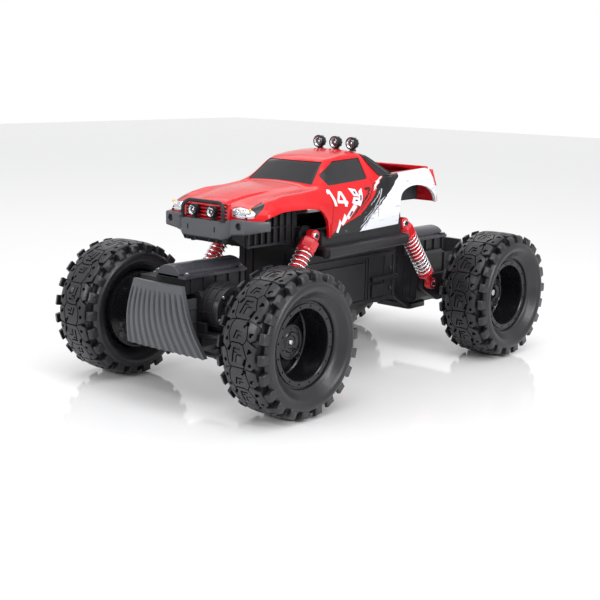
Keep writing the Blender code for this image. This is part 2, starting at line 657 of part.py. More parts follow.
def bed_liner():
    """Open tray inside the bed."""
    half, wall = BED_HALF_X - GAP, 0.0016
    obj = box("bed_liner", (-half, BED_FRONT + GAP, BED_FLOOR), (half, BED_REAR - GAP, 0.1850))
    cut(obj, box("bed_room", (-half + wall, BED_FRONT + GAP + wall, BED_FLOOR + wall), (half - wall, BED_REAR - GAP - wall, 0.20)))
    return finish(obj, "charcoal")


def roll_bar():
    """Hoop behind the cab with two stays down to the bed rails."""
    x, foot = 0.0475, 0.1893
    hoop = [(-x, 0.0500, foot), (-0.0365, 0.0345, 0.2030), (-0.0310, 0.0335, 0.2060), (0.0310, 0.0335, 0.2060),
            (0.0365, 0.0345, 0.2030), (x, 0.0500, foot)]
    return finish(tube("roll_bar", hoop, 0.0024, None, 2), "charcoal")


def roof_lamp(name, x):
    """Round lamp on a short stem; the stem stops at the roof."""
    z, y = 0.2143, 0.0225
    obj = rod(name, (x, y, z), (x, y + 0.0070, z), 0.0060, None, 16, 0.0045)
    add(obj, rod(f"{name}_stem", (x, y + 0.0015, 0.2104), (x, y + 0.0015, z), 0.0018, None, 8))
    return finish(obj, "lens")


def headlight_box(name, side, grow):
    x = sorted((side * (0.0300 - grow), side * (0.0560 + grow)))
    return box(name, (x[0], -0.1478 - 4 * grow, 0.1595 - grow), (x[1], -0.1340 + grow, 0.1655 + grow))


def headlight(name, side):
    obj = headlight_box(name, side, 0.0)
    x = side * 0.070
    sweep = [(0.0430, -0.16), (0.0450, -0.1475), (0.0480, -0.1440), (0.0560, -0.1350)]
    wedge = outline(f"{name}_sweep", [(x, -0.16)] + [(side * u, v) for u, v in sweep] + [(x, -0.12)], 0.1)
    wedge.location = (0, 0, 0.1625)
    cut(obj, wedge)
    return finish(obj, "lens")


def front_bumper():
    plan = [(0.0250, -0.1560), (0.0300, -0.1525), (0.0330, -0.1537), (0.0485, -0.1532), (0.0545, -0.1490),
            (0.0605, -0.1330), (0.0585, -0.1330), (0.0525, -0.1475), (0.0480, -0.1500)]
    obj = outline("front_bumper", mirrored(plan), 0.0110)
    obj.location = (0, 0, 0.1510)
    add(obj, box("bumper_lip", (-0.0240, -0.1550, 0.1385), (0.0240, -0.1508, 0.1470)))
    add(obj, box("bumper_bracket", (-0.018, -0.1530, 0.1392), (0.018, -0.1250, 0.1440)))
    for side in (1, -1):
        cut(obj, rod(f"fog_hole_{side}", (side * 0.0405, -0.17, 0.1512), (side * 0.0405, -0.1517, 0.1512), 0.0030, None, 12))
    return finish(obj, "grey")


def bull_bar():
    x, y = 0.0245, -0.1545
    low, bend, top = 0.1570, 0.1680, 0.1738
    hoop = [(-x, y, low), (-x, y, bend), (-0.0213, y + 0.002, top)]
    hoop += [(0.0213, y + 0.002, top), (x, y, bend), (x, y, low)]
    return finish(tube("bull_bar", hoop, 0.0015, None, 1), "charcoal")


def bull_lamp(name, x):
    obj = rod(name, (x, -0.1503, 0.1658), (x, -0.1573, 0.1658), 0.0040, None, 16, 0.0050)
    return finish(obj, "lens")


def grille():
    obj = box("grille", (-0.0280, -0.1497, 0.1500), (0.0280, -0.1484, 0.1630))
    for i in range(3):
        z = 0.1530 + 0.0033 * i
        cut(obj, box(f"grille_slot_{i}", (-0.024, -0.16, z), (0.024, -0.14, z + 0.0016)))
    return finish(obj, "red")


# ---------------------------------------------------------------- assembly
def axle_module(end):
    """Builds the front axle at end -1 and the same module turned round at end +1."""
    word = "front" if end < 0 else "rear"
    steered = end < 0
    pivot = new_empty(f"{word}_axle_roll", (0, end * BALL_Y, ROLL_Z))
    axle = new_empty(f"{word}_axle_frame", (0, end * (AXLE_Y - BALL_Y), AXLE_Z - ROLL_Z), pivot, 0.0 if end < 0 else pi)
    gearcase(f"{word}_gearcase", axle, steered)
    skid_plate(f"{word}_skid_plate", axle)
    motor(f"{word}_motor", axle)
    motor_cover(f"{word}_motor_cover", axle)
    trailing_arm(f"{word}_trailing_arm", axle)
    drive_shaft(f"{word}_drive_shaft", axle, KINGPIN_X - 0.012 if steered else WHEEL_X + 0.002, not steered)
    for side, side_word in ((1, "left"), (-1, "right")):
        name = f"{word}_{side_word}"
        if steered:
            kingpin = new_empty(f"{name}_kingpin", (side * KINGPIN_X, 0, 0), axle)
            knuckle(f"{name}_knuckle", side, kingpin)
        hub = wheel(name, side, end, None)
        if steered:
            stub_shaft(f"{name}_axle_shaft", hub)
        shock(f"{name}_shock", side, end)
    if steered:
        tie_rod("tie_rod", axle)
        steering_servo("steering_servo", axle)
        horn = new_empty("servo_horn_pivot", (HORN_X, -STEER_ARM + 0.0035, HORN_Z), axle)
        servo_horn("servo_horn", horn)


def build():
    chassis_tub()
    battery_door()
    battery_pack()
    circuit_board()
    power_switch()
    side_step("left_side_step", 1)
    side_step("right_side_step", -1)
    body_shell()
    window_insert()
    bed_liner()
    roll_bar()
    for word, x in (("left", 0.0204), ("middle", 0.0), ("right", -0.0204)):
        roof_lamp(f"{word}_roof_lamp", x)
    for word, side in (("left", 1), ("right", -1)):
        headlight(f"{word}_headlight", side)
        bull_lamp(f"{word}_bull_lamp", side * 0.0114)
    front_bumper()
    bull_bar()
    grille()
    axle_module(-1)
    axle_module(1)


clear_scene()
PARTS = collection("rock_crawler")
CUTTERS = collection("cutters")
build()
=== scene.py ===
"""Looks of the toy rock crawler: tyres, rims, painted shell, shocks, lamps and detail on the CAD frame."""
import bmesh
import bpy
import numpy as np
from math import cos, hypot, pi, radians, sin
from mathutils import Matrix, Vector


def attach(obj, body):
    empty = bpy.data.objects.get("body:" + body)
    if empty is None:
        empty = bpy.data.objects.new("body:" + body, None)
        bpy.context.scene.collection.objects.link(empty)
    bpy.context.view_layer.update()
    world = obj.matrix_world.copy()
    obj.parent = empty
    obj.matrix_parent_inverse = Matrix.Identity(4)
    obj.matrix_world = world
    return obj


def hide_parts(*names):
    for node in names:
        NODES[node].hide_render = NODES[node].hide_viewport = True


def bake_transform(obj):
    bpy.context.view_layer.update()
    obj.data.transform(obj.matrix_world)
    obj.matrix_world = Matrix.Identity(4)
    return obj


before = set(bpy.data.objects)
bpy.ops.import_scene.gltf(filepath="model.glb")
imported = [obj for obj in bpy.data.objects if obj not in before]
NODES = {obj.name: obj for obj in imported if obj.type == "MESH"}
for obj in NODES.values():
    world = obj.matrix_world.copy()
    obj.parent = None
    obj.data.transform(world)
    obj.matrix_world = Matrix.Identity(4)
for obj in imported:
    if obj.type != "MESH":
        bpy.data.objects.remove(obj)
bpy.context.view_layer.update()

MM = 0.001
SIDES = ((1, "left"), (-1, "right"))
# they lay an outline's local X, Y and Z along the car's (Y, Z, X) and (X, Z, Y)
SIDEWAYS = Matrix(((0, 0, 1, 0), (1, 0, 0, 0), (0, 1, 0, 0), (0, 0, 0, 1)))
LENGTHWISE = Matrix(((1, 0, 0, 0), (0, 0, 1, 0), (0, 1, 0, 0), (0, 0, 0, 1)))


# ---------------------------------------------------------------- camera, light, floor
def make_camera():
    camera = bpy.data.cameras.new("camera")
    camera.lens = 70.2
    camera.sensor_width = 36.0
    camera.clip_start = 0.01
    obj = bpy.data.objects.new("camera", camera)
    bpy.context.scene.collection.objects.link(obj)
    yaw, pitch, roll = radians(40.93), radians(-11.23), radians(1.07)
    turn = Matrix.Rotation(yaw, 4, "Z") @ Matrix.Rotation(pi / 2 + pitch, 4, "X") @ Matrix.Rotation(roll, 4,
            "Z")
    obj.matrix_world = Matrix.Translation((0.7285, -0.8639, 0.2852)) @ turn
    bpy.context.scene.camera = obj


def area_light(name, place, target, size, power):
    light = bpy.data.lights.new(name, "AREA")
    light.shape = "RECTANGLE"
    light.size, light.size_y = size
    light.energy = power
    obj = bpy.data.objects.new(name, light)
    bpy.context.scene.collection.objects.link(obj)
    obj.location = place
    obj.rotation_euler = (Vector(target) - Vector(place)).to_track_quat("-Z", "Y").to_euler()


def make_stage():
    """White world, dimmer for diffuse and glossy rays, a broad sun, four soft boxes and the floor."""
    world = bpy.data.worlds.new("studio")
    bpy.context.scene.world = world
    world.use_nodes = True
    tree = world.node_tree
    sky = tree.nodes["Background"]
    sky.inputs["Color"].default_value = (1.0, 1.0, 1.0, 1.0)
    rays = tree.nodes.new("ShaderNodeLightPath")
    strength = tree.nodes.new("ShaderNodeMath")
    strength.operation = "MULTIPLY_ADD"
    strength.inputs[1].default_value = -0.12          # mirror-like surfaces see a darker room
    strength.inputs[2].default_value = 1.0
    tree.links.new(rays.outputs["Is Glossy Ray"], strength.inputs[0])
    dim = tree.nodes.new("ShaderNodeMath")
    dim.operation = "MULTIPLY_ADD"
    dim.inputs[1].default_value = -0.42
    tree.links.new(rays.outputs["Is Diffuse Ray"], dim.inputs[0])
    tree.links.new(strength.outputs[0], dim.inputs[2])
    tree.links.new(dim.outputs[0], sky.inputs["Strength"])
    sun = bpy.data.lights.new("overhead", "SUN")
    sun.energy = 0.75
    sun.angle = radians(70)
    lamp_obj = bpy.data.objects.new("overhead", sun)
    bpy.context.scene.collection.objects.link(lamp_obj)
    lamp_obj.rotation_euler = (radians(8), radians(10), 0.0)
    area_light("key", (0.5, -0.4, 1.6), (0.0, 0.0, 0.1), (1.2, 1.2), 8.0)
    area_light("side", (1.3, -0.1, 0.75), (0.0, 0.0, 0.1), (0.3, 0.9), 10.0)
    area_light("back", (-1.2, 1.0, 1.6), (0.0, 0.0, 0.1), (1.4, 0.6), 4.0)
    area_light("front", (-0.3, -1.5, 0.7), (0.0, 0.0, 0.1), (1.0, 0.3), 8.0)
    bm = bmesh.new()
    bmesh.ops.create_grid(bm, x_segments=1, y_segments=1, size=4.0)
    mesh = bpy.data.meshes.new("floor")
    bm.to_mesh(mesh)
    bm.free()
    floor = bpy.data.objects.new("floor", mesh)
    floor.location = (0.0, 0.0, -0.0002)
    bpy.context.scene.collection.objects.link(floor)
    mesh.materials.append(
            plastic("studio_floor", (0.93, 0.93, 0.94), 0.07, grain=40, bump=0.0, spread=0.01, specular=0.8))
    bpy.context.scene.view_settings.view_transform = "Standard"


# ---------------------------------------------------------------- materials
def node_tree(name):
    mat = bpy.data.materials.new(name)
    mat.use_nodes = True
    tree = mat.node_tree
    return mat, tree, tree.nodes["Principled BSDF"]


def link(tree, out, into):
    tree.links.new(out, into)


def object_noise(tree, scale, detail=3.0, rough=0.5):
    coords = tree.nodes.new("ShaderNodeTexCoord")
    noise = tree.nodes.new("ShaderNodeTexNoise")
    noise.inputs["Scale"].default_value = scale
    noise.inputs["Detail"].default_value = detail
    noise.inputs["Roughness"].default_value = rough
    link(tree, coords.outputs["Object"], noise.inputs["Vector"])
    return noise.outputs["Fac"]


def ranged(tree, value, low, high, start=0.3, stop=0.7):
    node = tree.nodes.new("ShaderNodeMapRange")
    node.inputs["From Min"].default_value = start
    node.inputs["From Max"].default_value = stop
    node.inputs["To Min"].default_value = low
    node.inputs["To Max"].default_value = high
    link(tree, value, node.inputs["Value"])
    return node.outputs["Result"]


def blend_colour(tree, factor, first, second):
    mix = tree.nodes.new("ShaderNodeMix")
    mix.data_type = "RGBA"
    for socket, colour in ((mix.inputs[6], first), (mix.inputs[7], second)):
        if isinstance(colour, tuple):
            socket.default_value = (*colour, 1.0)
        else:
            link(tree, colour, socket)
    link(tree, factor, mix.inputs[0])
    return mix.outputs[2]


def add_bump(tree, shader, value, strength, distance):
    bump = tree.nodes.new("ShaderNodeBump")
    bump.inputs["Strength"].default_value = strength
    bump.inputs["Distance"].default_value = distance
    link(tree, value, bump.inputs["Height"])
    link(tree, bump.outputs["Normal"], shader.inputs["Normal"])


def plastic(name, colour, rough, grain=900, bump=0.25, spread=0.12, metallic=0.0, coat=0.0, specular=0.5):
    """Moulded plastic, rubber or metal: mottled colour, uneven gloss and a fine grain."""
    mat, tree, shader = node_tree(name)
    shader.inputs["Metallic"].default_value = metallic
    shader.inputs["Coat Weight"].default_value = coat
    shader.inputs["Coat Roughness"].default_value = 0.06
    shader.inputs["Specular IOR Level"].default_value = specular
    dark = tuple(c * (1 - spread) for c in colour)
    light = tuple(min(1.0, c * (1 + spread)) for c in colour)
    link(tree, blend_colour(tree, object_noise(tree, 90), dark, light), shader.inputs["Base Color"])
    link(tree, ranged(tree, object_noise(tree, 160, 5), rough * 0.85, min(1.0, rough * 1.2)),
         shader.inputs["Roughness"])
    if bump:
        add_bump(tree, shader, object_noise(tree, grain, 2), bump, 0.0002)
    return mat


def glass(name, colour, rough=0.05, transmission=1.0):
    mat, tree, shader = node_tree(name)
    shader.inputs["Transmission Weight"].default_value = transmission
    shader.inputs["IOR"].default_value = 1.45
    tint = tuple(c * 0.92 for c in colour)
    link(tree, blend_colour(tree, object_noise(tree, 200), tint, colour), shader.inputs["Base Color"])
    link(tree, ranged(tree, object_noise(tree, 300), rough, rough * 2.5), shader.inputs["Roughness"])
    return mat


MATS = {}


def math_node(tree, operation, first, second=None):
    node = tree.nodes.new("ShaderNodeMath")
    node.operation = operation
    for socket, value in zip(node.inputs, (first, second)):
        if value is None:
            continue
        if isinstance(value, (int, float)):
            socket.default_value = value
        else:
            link(tree, value, socket)
    return node.outputs[0]


def between(tree, value, low, high, soft_edge=0.0004):
    """1 inside the limits, with soft edges."""
    rise = ranged(tree, value, 0.0, 1.0, low - soft_edge, low + soft_edge)
    fall = ranged(tree, value, 1.0, 0.0, high - soft_edge, high + soft_edge)
    return math_node(tree, "MULTIPLY", rise, fall)


def body_paint():
    """Glossy red, white rear quarters, black diagonal slashes and streaks, placed in the car's frame."""
    mat, tree, shader = node_tree("body_paint")
    coords = tree.nodes.new("ShaderNodeTexCoord")
    split = tree.nodes.new("ShaderNodeSeparateXYZ")
    link(tree, coords.outputs["Object"], split.inputs[0])
    x, y, z = split.outputs
    across = math_node(tree, "ABSOLUTE", x)
    stretch = tree.nodes.new("ShaderNodeMapping")
    stretch.inputs["Rotation"].default_value = (radians(-38), 0.0, 0.0)
    stretch.inputs["Scale"].default_value = (1.0, 0.16, 1.0)
    link(tree, coords.outputs["Object"], stretch.inputs["Vector"])
    streaks = tree.nodes.new("ShaderNodeTexNoise")
    streaks.inputs["Scale"].default_value = 420.0
    streaks.inputs["Detail"].default_value = 3.0
    link(tree, stretch.outputs[0], streaks.inputs["Vector"])
    streak = streaks.outputs["Fac"]
    # slant is the distance along the car of the diagonal through a point, measured at the sill
    slant = math_node(tree, "SUBTRACT", y,
                      math_node(tree, "MULTIPLY", math_node(tree, "SUBTRACT", z, 0.136), 1 / 0.79))
    ragged = math_node(tree, "ADD", slant,
                       math_node(tree, "MULTIPLY", math_node(tree, "SUBTRACT", streak, 0.5), 0.006))
    on_side = math_node(tree, "MULTIPLY", ranged(tree, across, 0.0, 1.0, 0.0515, 0.052),
                        ranged(tree, y, 1.0, 0.0, 0.1173, 0.1176))
    red = blend_colour(tree, object_noise(tree, 60), (0.6, 0.006, 0.01), (0.65, 0.008, 0.014))
    white = blend_colour(tree, ranged(tree, streak, 0.0, 1.0, 0.6, 0.72), (0.76, 0.78, 0.82),
                         (0.46, 0.48, 0.53))
    black = blend_colour(tree, ranged(tree, streak, 0.0, 1.0, 0.66, 0.74), (0.009, 0.009, 0.011),
                         (0.2, 0.2, 0.22))
    low_down = ranged(tree, z, 1.0, 0.0, 0.142, 0.152)
    flare = math_node(tree, "SUBTRACT", -0.0292, math_node(tree, "MULTIPLY", low_down, 0.02))
    # black from the flared front edge back to the white quarter
    front_edge = math_node(tree, "GREATER_THAN", ragged, flare)
    colour = red
    for low, high, z0, z1, paint in ((-0.0415, -0.0385, 0.15, 0.1745, black),
                                     (-0.036, -0.0345, 0.156, 0.18, black),
                                     (-0.0335, -0.03, 0.1735, 0.185, white)):
        inside = math_node(tree, "MULTIPLY", between(tree, ragged, low, high),
                           between(tree, z, z0, z1, 0.001))
        colour = blend_colour(tree, math_node(tree, "MULTIPLY", inside, on_side), colour, paint)
    colour = blend_colour(tree, math_node(tree, "MULTIPLY", front_edge, on_side), colour, black)
    for low, high, z0, z1 in ((-0.0125, -0.0112, 0.14, 0.166), (-0.0165, -0.0158, 0.146, 0.156),
                              (-0.024, -0.0232, 0.16, 0.172)):
        inside = math_node(tree, "MULTIPLY", between(tree, ragged, low, high),
                           between(tree, z, z0, z1, 0.0012))
        colour = blend_colour(tree, math_node(tree, "MULTIPLY", inside, on_side), colour, white)
    rear = math_node(tree, "GREATER_THAN", ragged, -0.0084)
    colour = blend_colour(tree, math_node(tree, "MULTIPLY", rear, on_side), colour, white)
    link(tree, colour, shader.inputs["Base Color"])
    link(tree, ranged(tree, object_noise(tree, 160, 5), 0.17, 0.24), shader.inputs["Roughness"])
    shader.inputs["Coat Weight"].default_value = 0.15
    shader.inputs["Specular IOR Level"].default_value = 0.22
    shader.inputs["Coat Roughness"].default_value = 0.06
    add_bump(tree, shader, object_noise(tree, 500, 2), 0.03, 0.0002)
    return mat


def make_materials():
    MATS["body"] = body_paint()
    MATS["rubber"] = plastic("tyre_rubber", (0.015, 0.015, 0.018), 0.33, grain=1400, bump=0.26, spread=0.15,
                             specular=0.42)
    MATS["rim"] = plastic("rim_black", (0.012, 0.012, 0.014), 0.24, grain=700, bump=0.06, spread=0.15,
                          specular=0.38)
    MATS["charcoal"] = plastic("charcoal_plastic", (0.019, 0.019, 0.022), 0.33, grain=1200, bump=0.14,
                               spread=0.15, specular=0.28)
    MATS["dark"] = plastic("dark_plastic", (0.012, 0.012, 0.015), 0.36, grain=1200, bump=0.12, specular=0.28)
    MATS["grey"] = plastic("grey_plastic", (0.105, 0.108, 0.115), 0.42, grain=1500, bump=0.22, spread=0.08)
    MATS["bumper"] = plastic("bumper_grey", (0.07, 0.072, 0.082), 0.34, grain=1500, bump=0.2, spread=0.08)
    MATS["motor_cover"] = plastic("motor_cover_grey", (0.042, 0.042, 0.052), 0.24, grain=1200, bump=0.04,
                                  spread=0.08, specular=0.35)
    MATS["red"] = plastic("moulded_red", (0.64, 0.012, 0.02), 0.2, grain=500, bump=0.04, spread=0.06,
                          coat=0.6)
    MATS["shock_red"] = plastic("shock_red", (0.62, 0.01, 0.02), 0.24, grain=600, bump=0.06, spread=0.08,
                                coat=0.4)
    MATS["chrome"] = plastic("chromed_wire", (0.86, 0.86, 0.88), 0.1, grain=1500, bump=0.04, spread=0.04,
                             metallic=1.0)
    MATS["steel"] = plastic("bright_steel", (0.66, 0.66, 0.68), 0.26, grain=1800, bump=0.15, spread=0.06,
                            metallic=1.0)
    MATS["window"] = plastic("black_glazing", (0.016, 0.016, 0.019), 0.15, grain=300, bump=0.02, spread=0.1,
                             specular=0.4)
    MATS["lens"] = glass("clear_lens", (0.96, 0.97, 0.98))
    MATS["reflector"] = plastic("lamp_reflector", (0.88, 0.88, 0.9), 0.12, grain=400, bump=0.06, spread=0.05,
                                metallic=1.0)
    MATS["amber"] = plastic("amber_lens", (0.85, 0.42, 0.03), 0.18, grain=400, bump=0.03, spread=0.08,
                            coat=0.5)
    MATS["tail"] = plastic("tail_lens", (0.72, 0.02, 0.03), 0.14, grain=400, bump=0.03, spread=0.08,
                           coat=0.6)
    MATS["headlamp"] = plastic("headlamp_lens", (0.5, 0.51, 0.54), 0.1, grain=260, bump=0.1, spread=0.25,
                               metallic=0.55, coat=0.8)
    MATS["skid"] = plastic("skid_plate_grey", (0.07, 0.073, 0.082), 0.32, grain=1300, bump=0.18, spread=0.08)
    MATS["paint_white"] = plastic("decal_white", (0.8, 0.82, 0.86), 0.24, grain=300, bump=0.02, spread=0.04)
    MATS["paint_black"] = plastic("decal_black", (0.02, 0.02, 0.024), 0.26, grain=300, bump=0.02, spread=0.1)
    MATS["paint_grey"] = plastic("decal_grey", (0.42, 0.44, 0.49), 0.3, grain=300, bump=0.02, spread=0.1)
    MATS["seam"] = plastic("door_seam", (0.2, 0.004, 0.006), 0.4, grain=300, bump=0.02, spread=0.1)
    MATS["board"] = plastic("circuit_board", (0.02, 0.16, 0.06), 0.45, grain=900, bump=0.1)
    MATS["battery"] = plastic("battery_wrap", (0.05, 0.1, 0.32), 0.35, grain=300, bump=0.05)


# ---------------------------------------------------------------- mesh helpers
def piece(name, bm, body, mat, cover=(), bevel=0.0, segments=2, angle=32, place=None):
    """Makes an object of the bmesh, gives it its material and lets it ride on the body."""
    bmesh.ops.recalc_face_normals(bm, faces=bm.faces)
    mesh = bpy.data.meshes.new(name)
    bm.to_mesh(mesh)
    bm.free()
    return from_mesh(name, mesh, body, mat, cover, bevel, segments, angle, place)


def from_mesh(name, mesh, body, mat, cover=(), bevel=0.0, segments=2, angle=32, place=None):
    obj = bpy.data.objects.new(name, mesh)
    bpy.context.scene.collection.objects.link(obj)
    if place is not None:
        obj.matrix_world = place
    if not mesh.materials:
        mesh.materials.append(MATS[mat])
    mesh.shade_smooth()
    mesh.set_sharp_from_angle(angle=radians(angle))
    if bevel:
        mod = obj.modifiers.new("edges", "BEVEL")
        mod.width = bevel
        mod.segments = segments
        mod.limit_method = "ANGLE"
        mod.angle_limit = radians(35)
        mod.harden_normals = True
    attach(obj, body)
    if cover:
        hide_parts(*cover)
    return obj


def axis_matrix(origin, direction, up=(0, 0, 1)):
    """Matrix whose +Z is the direction, at the origin."""
    z = Vector(direction).normalized()
    up = Vector(up)
    if abs(z.dot(up)) > 0.95:
        up = Vector((0, 1, 0))
    x = up.cross(z).normalized()
    y = z.cross(x)
    turn = Matrix((x, y, z)).transposed().to_4x4()
    return Matrix.Translation(origin) @ turn


def add_box(bm, low, high, matrix=Matrix.Identity(4)):
    low, high = Vector(low), Vector(high)
    place = Matrix.Translation((low + high) / 2) @ Matrix.Diagonal((*(high - low), 1.0))
    return bmesh.ops.create_cube(bm, size=1.0, matrix=matrix @ place)["verts"]


def add_side_box(bm, side, xs, ys, zs, matrix=Matrix.Identity(4)):
    """Box on one side of the car; xs are distances from the middle."""
    x0, x1 = sorted((side * xs[0], side * xs[1]))
    add_box(bm, (x0, ys[0], zs[0]), (x1, ys[1], zs[1]), matrix)


def add_slab(bm, x, half, ys, zs, matrix=Matrix.Identity(4)):
    """Box that reaches half to each side of x."""
    add_box(bm, (x - half, ys[0], zs[0]), (x + half, ys[1], zs[1]), matrix)


def add_rod(bm, start, end, radius, sides=24, radius_end=None, matrix=Matrix.Identity(4)):
    start, end = matrix @ Vector(start), matrix @ Vector(end)
    place = axis_matrix((start + end) / 2, end - start)
    return bmesh.ops.create_cone(bm, cap_ends=True, segments=sides, radius1=radius,
                                 radius2=radius if radius_end is None else radius_end,
                                 depth=(end - start).length, matrix=place)["verts"]


def add_lathe(bm, profile, steps, matrix=Matrix.Identity(4), closed=False):
    """Turns (radius, height) points round local Z. Ends on the axis are closed by a fan."""
    rings = []
    for r, h in profile:
        if r < 1e-6:
            rings.append([bm.verts.new(matrix @ Vector((0, 0, h)))])
        else:
            rings.append([bm.verts.new(
                    matrix @ Vector((r * cos(2 * pi * i / steps), r * sin(2 * pi * i / steps), h)))
                          for i in range(steps)])
    pairs = list(zip(rings, rings[1:]))
    if closed:
        pairs.append((rings[-1], rings[0]))
    for a, b in pairs:
        for i in range(steps):
            j = (i + 1) % steps
            corners = [a[i % len(a)], a[j % len(a)], b[j % len(b)], b[i % len(b)]]
            corners = list(dict.fromkeys(corners))
            if len(corners) > 2:
                bm.faces.new(corners)


def add_prism(bm, outline, low, high, matrix=Matrix.Identity(4)):
    """Closed outline in local XY, extruded in local Z."""
    base = [bm.verts.new(matrix @ Vector((x, y, low))) for x, y in outline]
    top = [bm.verts.new(matrix @ Vector((x, y, high))) for x, y in outline]
    bm.faces.new(list(reversed(base)))
    bm.faces.new(top)
    for i in range(len(base)):
        j = (i + 1) % len(base)
        bm.faces.new((base[i], base[j], top[j], top[i]))


def add_loft(bm, rows, closed=True, caps=True):
    """Skins rows of points; every row has the same count."""
    rings = [[bm.verts.new(p) for p in row] for row in rows]
    count = len(rings[0])
    for a, b in zip(rings, rings[1:]):
        for i in range(count if closed else count - 1):
            j = (i + 1) % count
            bm.faces.new((a[i], a[j], b[j], b[i]))
    if caps:
        bm.faces.new(list(reversed(rings[0])))
        bm.faces.new(rings[-1])


def add_tube(bm, points, radius, sides=10, loop=False):
    """Round bar along the points, with flat ends."""
    points = [Vector(p) for p in points]
    count = len(points)
    rows = []
    normal = None
    for i, p in enumerate(points):
        before = points[i - 1] if i or loop else p
        after = points[(i + 1) % count] if i < count - 1 or loop else p
        tangent = (after - before).normalized()
        if normal is None:
            normal = tangent.orthogonal().normalized()
        normal = (normal - tangent * normal.dot(tangent)).normalized()
        side = tangent.cross(normal)
        rows.append([p + radius * (normal * cos(2 * pi * k / sides) + side * sin(2 * pi * k / sides))
                     for k in range(sides)])
    if loop:
        rows.append(rows[0])
    add_loft(bm, rows, True, not loop)


def rounded(points, radius, steps=4):
    """Polyline whose inner corners are replaced by short arcs."""
    points = [Vector(p) for p in points]
    out = [points[0]]
    for before, corner, after in zip(points, points[1:], points[2:]):
        reach = min(radius, 0.45 * (before - corner).length, 0.45 * (after - corner).length)
        a = corner + (before - corner).normalized() * reach
        b = corner + (after - corner).normalized() * reach
        for i in range(steps + 1):
            t = i / steps
            out.append(a * (1 - t) ** 2 + corner * (2 * t * (1 - t)) + b * t * t)
    return out + [points[-1]]


def add_screw(bm, place, direction, radius, height=0.0012):
    """Pan head with a cross recess, at place, facing direction."""
    matrix = axis_matrix(place, direction)
    r, h = radius, height
    add_lathe(bm, [(0.0, h * 0.55), (r * 0.35, h * 0.55), (r * 0.38, h), (r * 0.72, h), (r, h * 0.45),
                   (r, -h * 0.4), (0.0, -h * 0.4)],
              20, matrix)
    for turn in (0, pi / 2):
        cross = matrix @ Matrix.Rotation(turn, 4, "Z")
        add_box(bm, (-r * 0.62, -r * 0.1, h * 0.3), (-r * 0.33, r * 0.1, h * 1.02), cross)
        add_box(bm, (r * 0.33, -r * 0.1, h * 0.3), (r * 0.62, r * 0.1, h * 1.02), cross)


def merge(bm, other):
    """Adds the other bmesh to bm, facing outwards, and frees it."""
    bmesh.ops.recalc_face_normals(other, faces=other.faces)
    data = bpy.data.meshes.new("merged")
    other.to_mesh(data)
    other.free()
    bm.from_mesh(data)
    bpy.data.meshes.remove(data)


def soft(table, y, radius=0.0):
    """Value of the (y, value) table at y, with its corners rounded over the radius."""
    ys, values = [p[0] for p in table], [p[1] for p in table]
    offsets = np.linspace(-radius, radius, 9) if radius else np.array([0.0])
    return float(np.mean(np.interp(y + offsets, ys, values)))


def hermite(points, per=6):
    """Smooth curve through 2-D points, for turned profiles."""
    pts = [np.array(p, float) for p in points]
    pts = [2 * pts[0] - pts[1]] + pts + [2 * pts[-1] - pts[-2]]
    out = []
    for i in range(1, len(pts) - 2):
        for k in range(per):
            t = k / per
            a, b, c, d = pts[i - 1], pts[i], pts[i + 1], pts[i + 2]
            out.append(0.5 * (
                    2 * b + (c - a) * t + (2 * a - 5 * b + 4 * c - d) * t ** 2 + (
                            3 * b - a - 3 * c + d) * t ** 3))
    out.append(pts[-2])
    return [(float(x), float(y)) for x, y in out]


def boolean_mesh(base, tools, operation="DIFFERENCE"):
    """Applies exact Booleans of closed bmeshes and returns a mesh."""
    def temporary(bm):
        bmesh.ops.recalc_face_normals(bm, faces=bm.faces)
        mesh = bpy.data.meshes.new("temporary")
        bm.to_mesh(mesh)
        bm.free()
        obj = bpy.data.objects.new("temporary", mesh)
        bpy.context.scene.collection.objects.link(obj)
        return obj
    obj = temporary(base)
    cutters = [temporary(tool) for tool in tools]
    for cutter in cutters:
        mod = obj.modifiers.new("cut", "BOOLEAN")
        mod.operation = operation
        mod.solver = "EXACT"
        mod.object = cutter
    bpy.context.view_layer.update()
    mesh = bpy.data.meshes.new_from_object(obj.evaluated_get(bpy.context.evaluated_depsgraph_get()))
    for item in [obj] + cutters:
        data = item.data
        bpy.data.objects.remove(item)
        bpy.data.meshes.remove(data)
    return mesh


# ---------------------------------------------------------------- wheels
WHEELBASE, AXLE_Z, WHEEL_X = 0.314, 0.0625, 0.1045
AXLE_Y = WHEELBASE / 2
TREAD_R = 0.0625          # top of the tread blocks
GROOVE_R = 0.0588         # floor of the tread grooves
CELLS = 10                # repeats of the tread pattern
CELL = 2 * pi * TREAD_R / CELLS
BEAD_BOLTS = 16
LUGS = 22                 # square lugs on each side wall
FACE_X = Matrix.Rotation(pi / 2, 4, "Y")


def flat_block(outline, low, high):
    """Tread block in the flat: (along, across) outline between two radii."""
    bm = bmesh.new()
    add_prism(bm, outline, low, high)
    return bm


def bar(start, end, width):
    """Outline of a straight bar."""
    a, b = Vector(start), Vector(end)
    side = (b - a).orthogonal().normalized() * width / 2
    return [tuple(a + side), tuple(b + side), tuple(b - side), tuple(a - side)]


def scaled(points):
    return [(u * MM, v * MM) for u, v in points]


def inset(points, gap):
    """Outline moved inwards by half the gap, so that neighbours stand apart."""
    pts = [Vector(p) for p in points]
    area = sum(a.x * b.y - b.x * a.y for a, b in zip(pts, pts[1:] + pts[:1]))
    if area < 0:
        pts.reverse()
    out = []
    for before, corner, after in zip([pts[-1]] + pts, pts, pts[1:] + pts[:1]):
        d1, d2 = (corner - before).normalized(), (after - corner).normalized()
        n1, n2 = Vector((-d1.y, d1.x)), Vector((-d2.y, d2.x))
        bisector = (n1 + n2) / max(0.4, 1 + n1.dot(n2))
        out.append(tuple(corner + bisector * gap / 2))
    return out


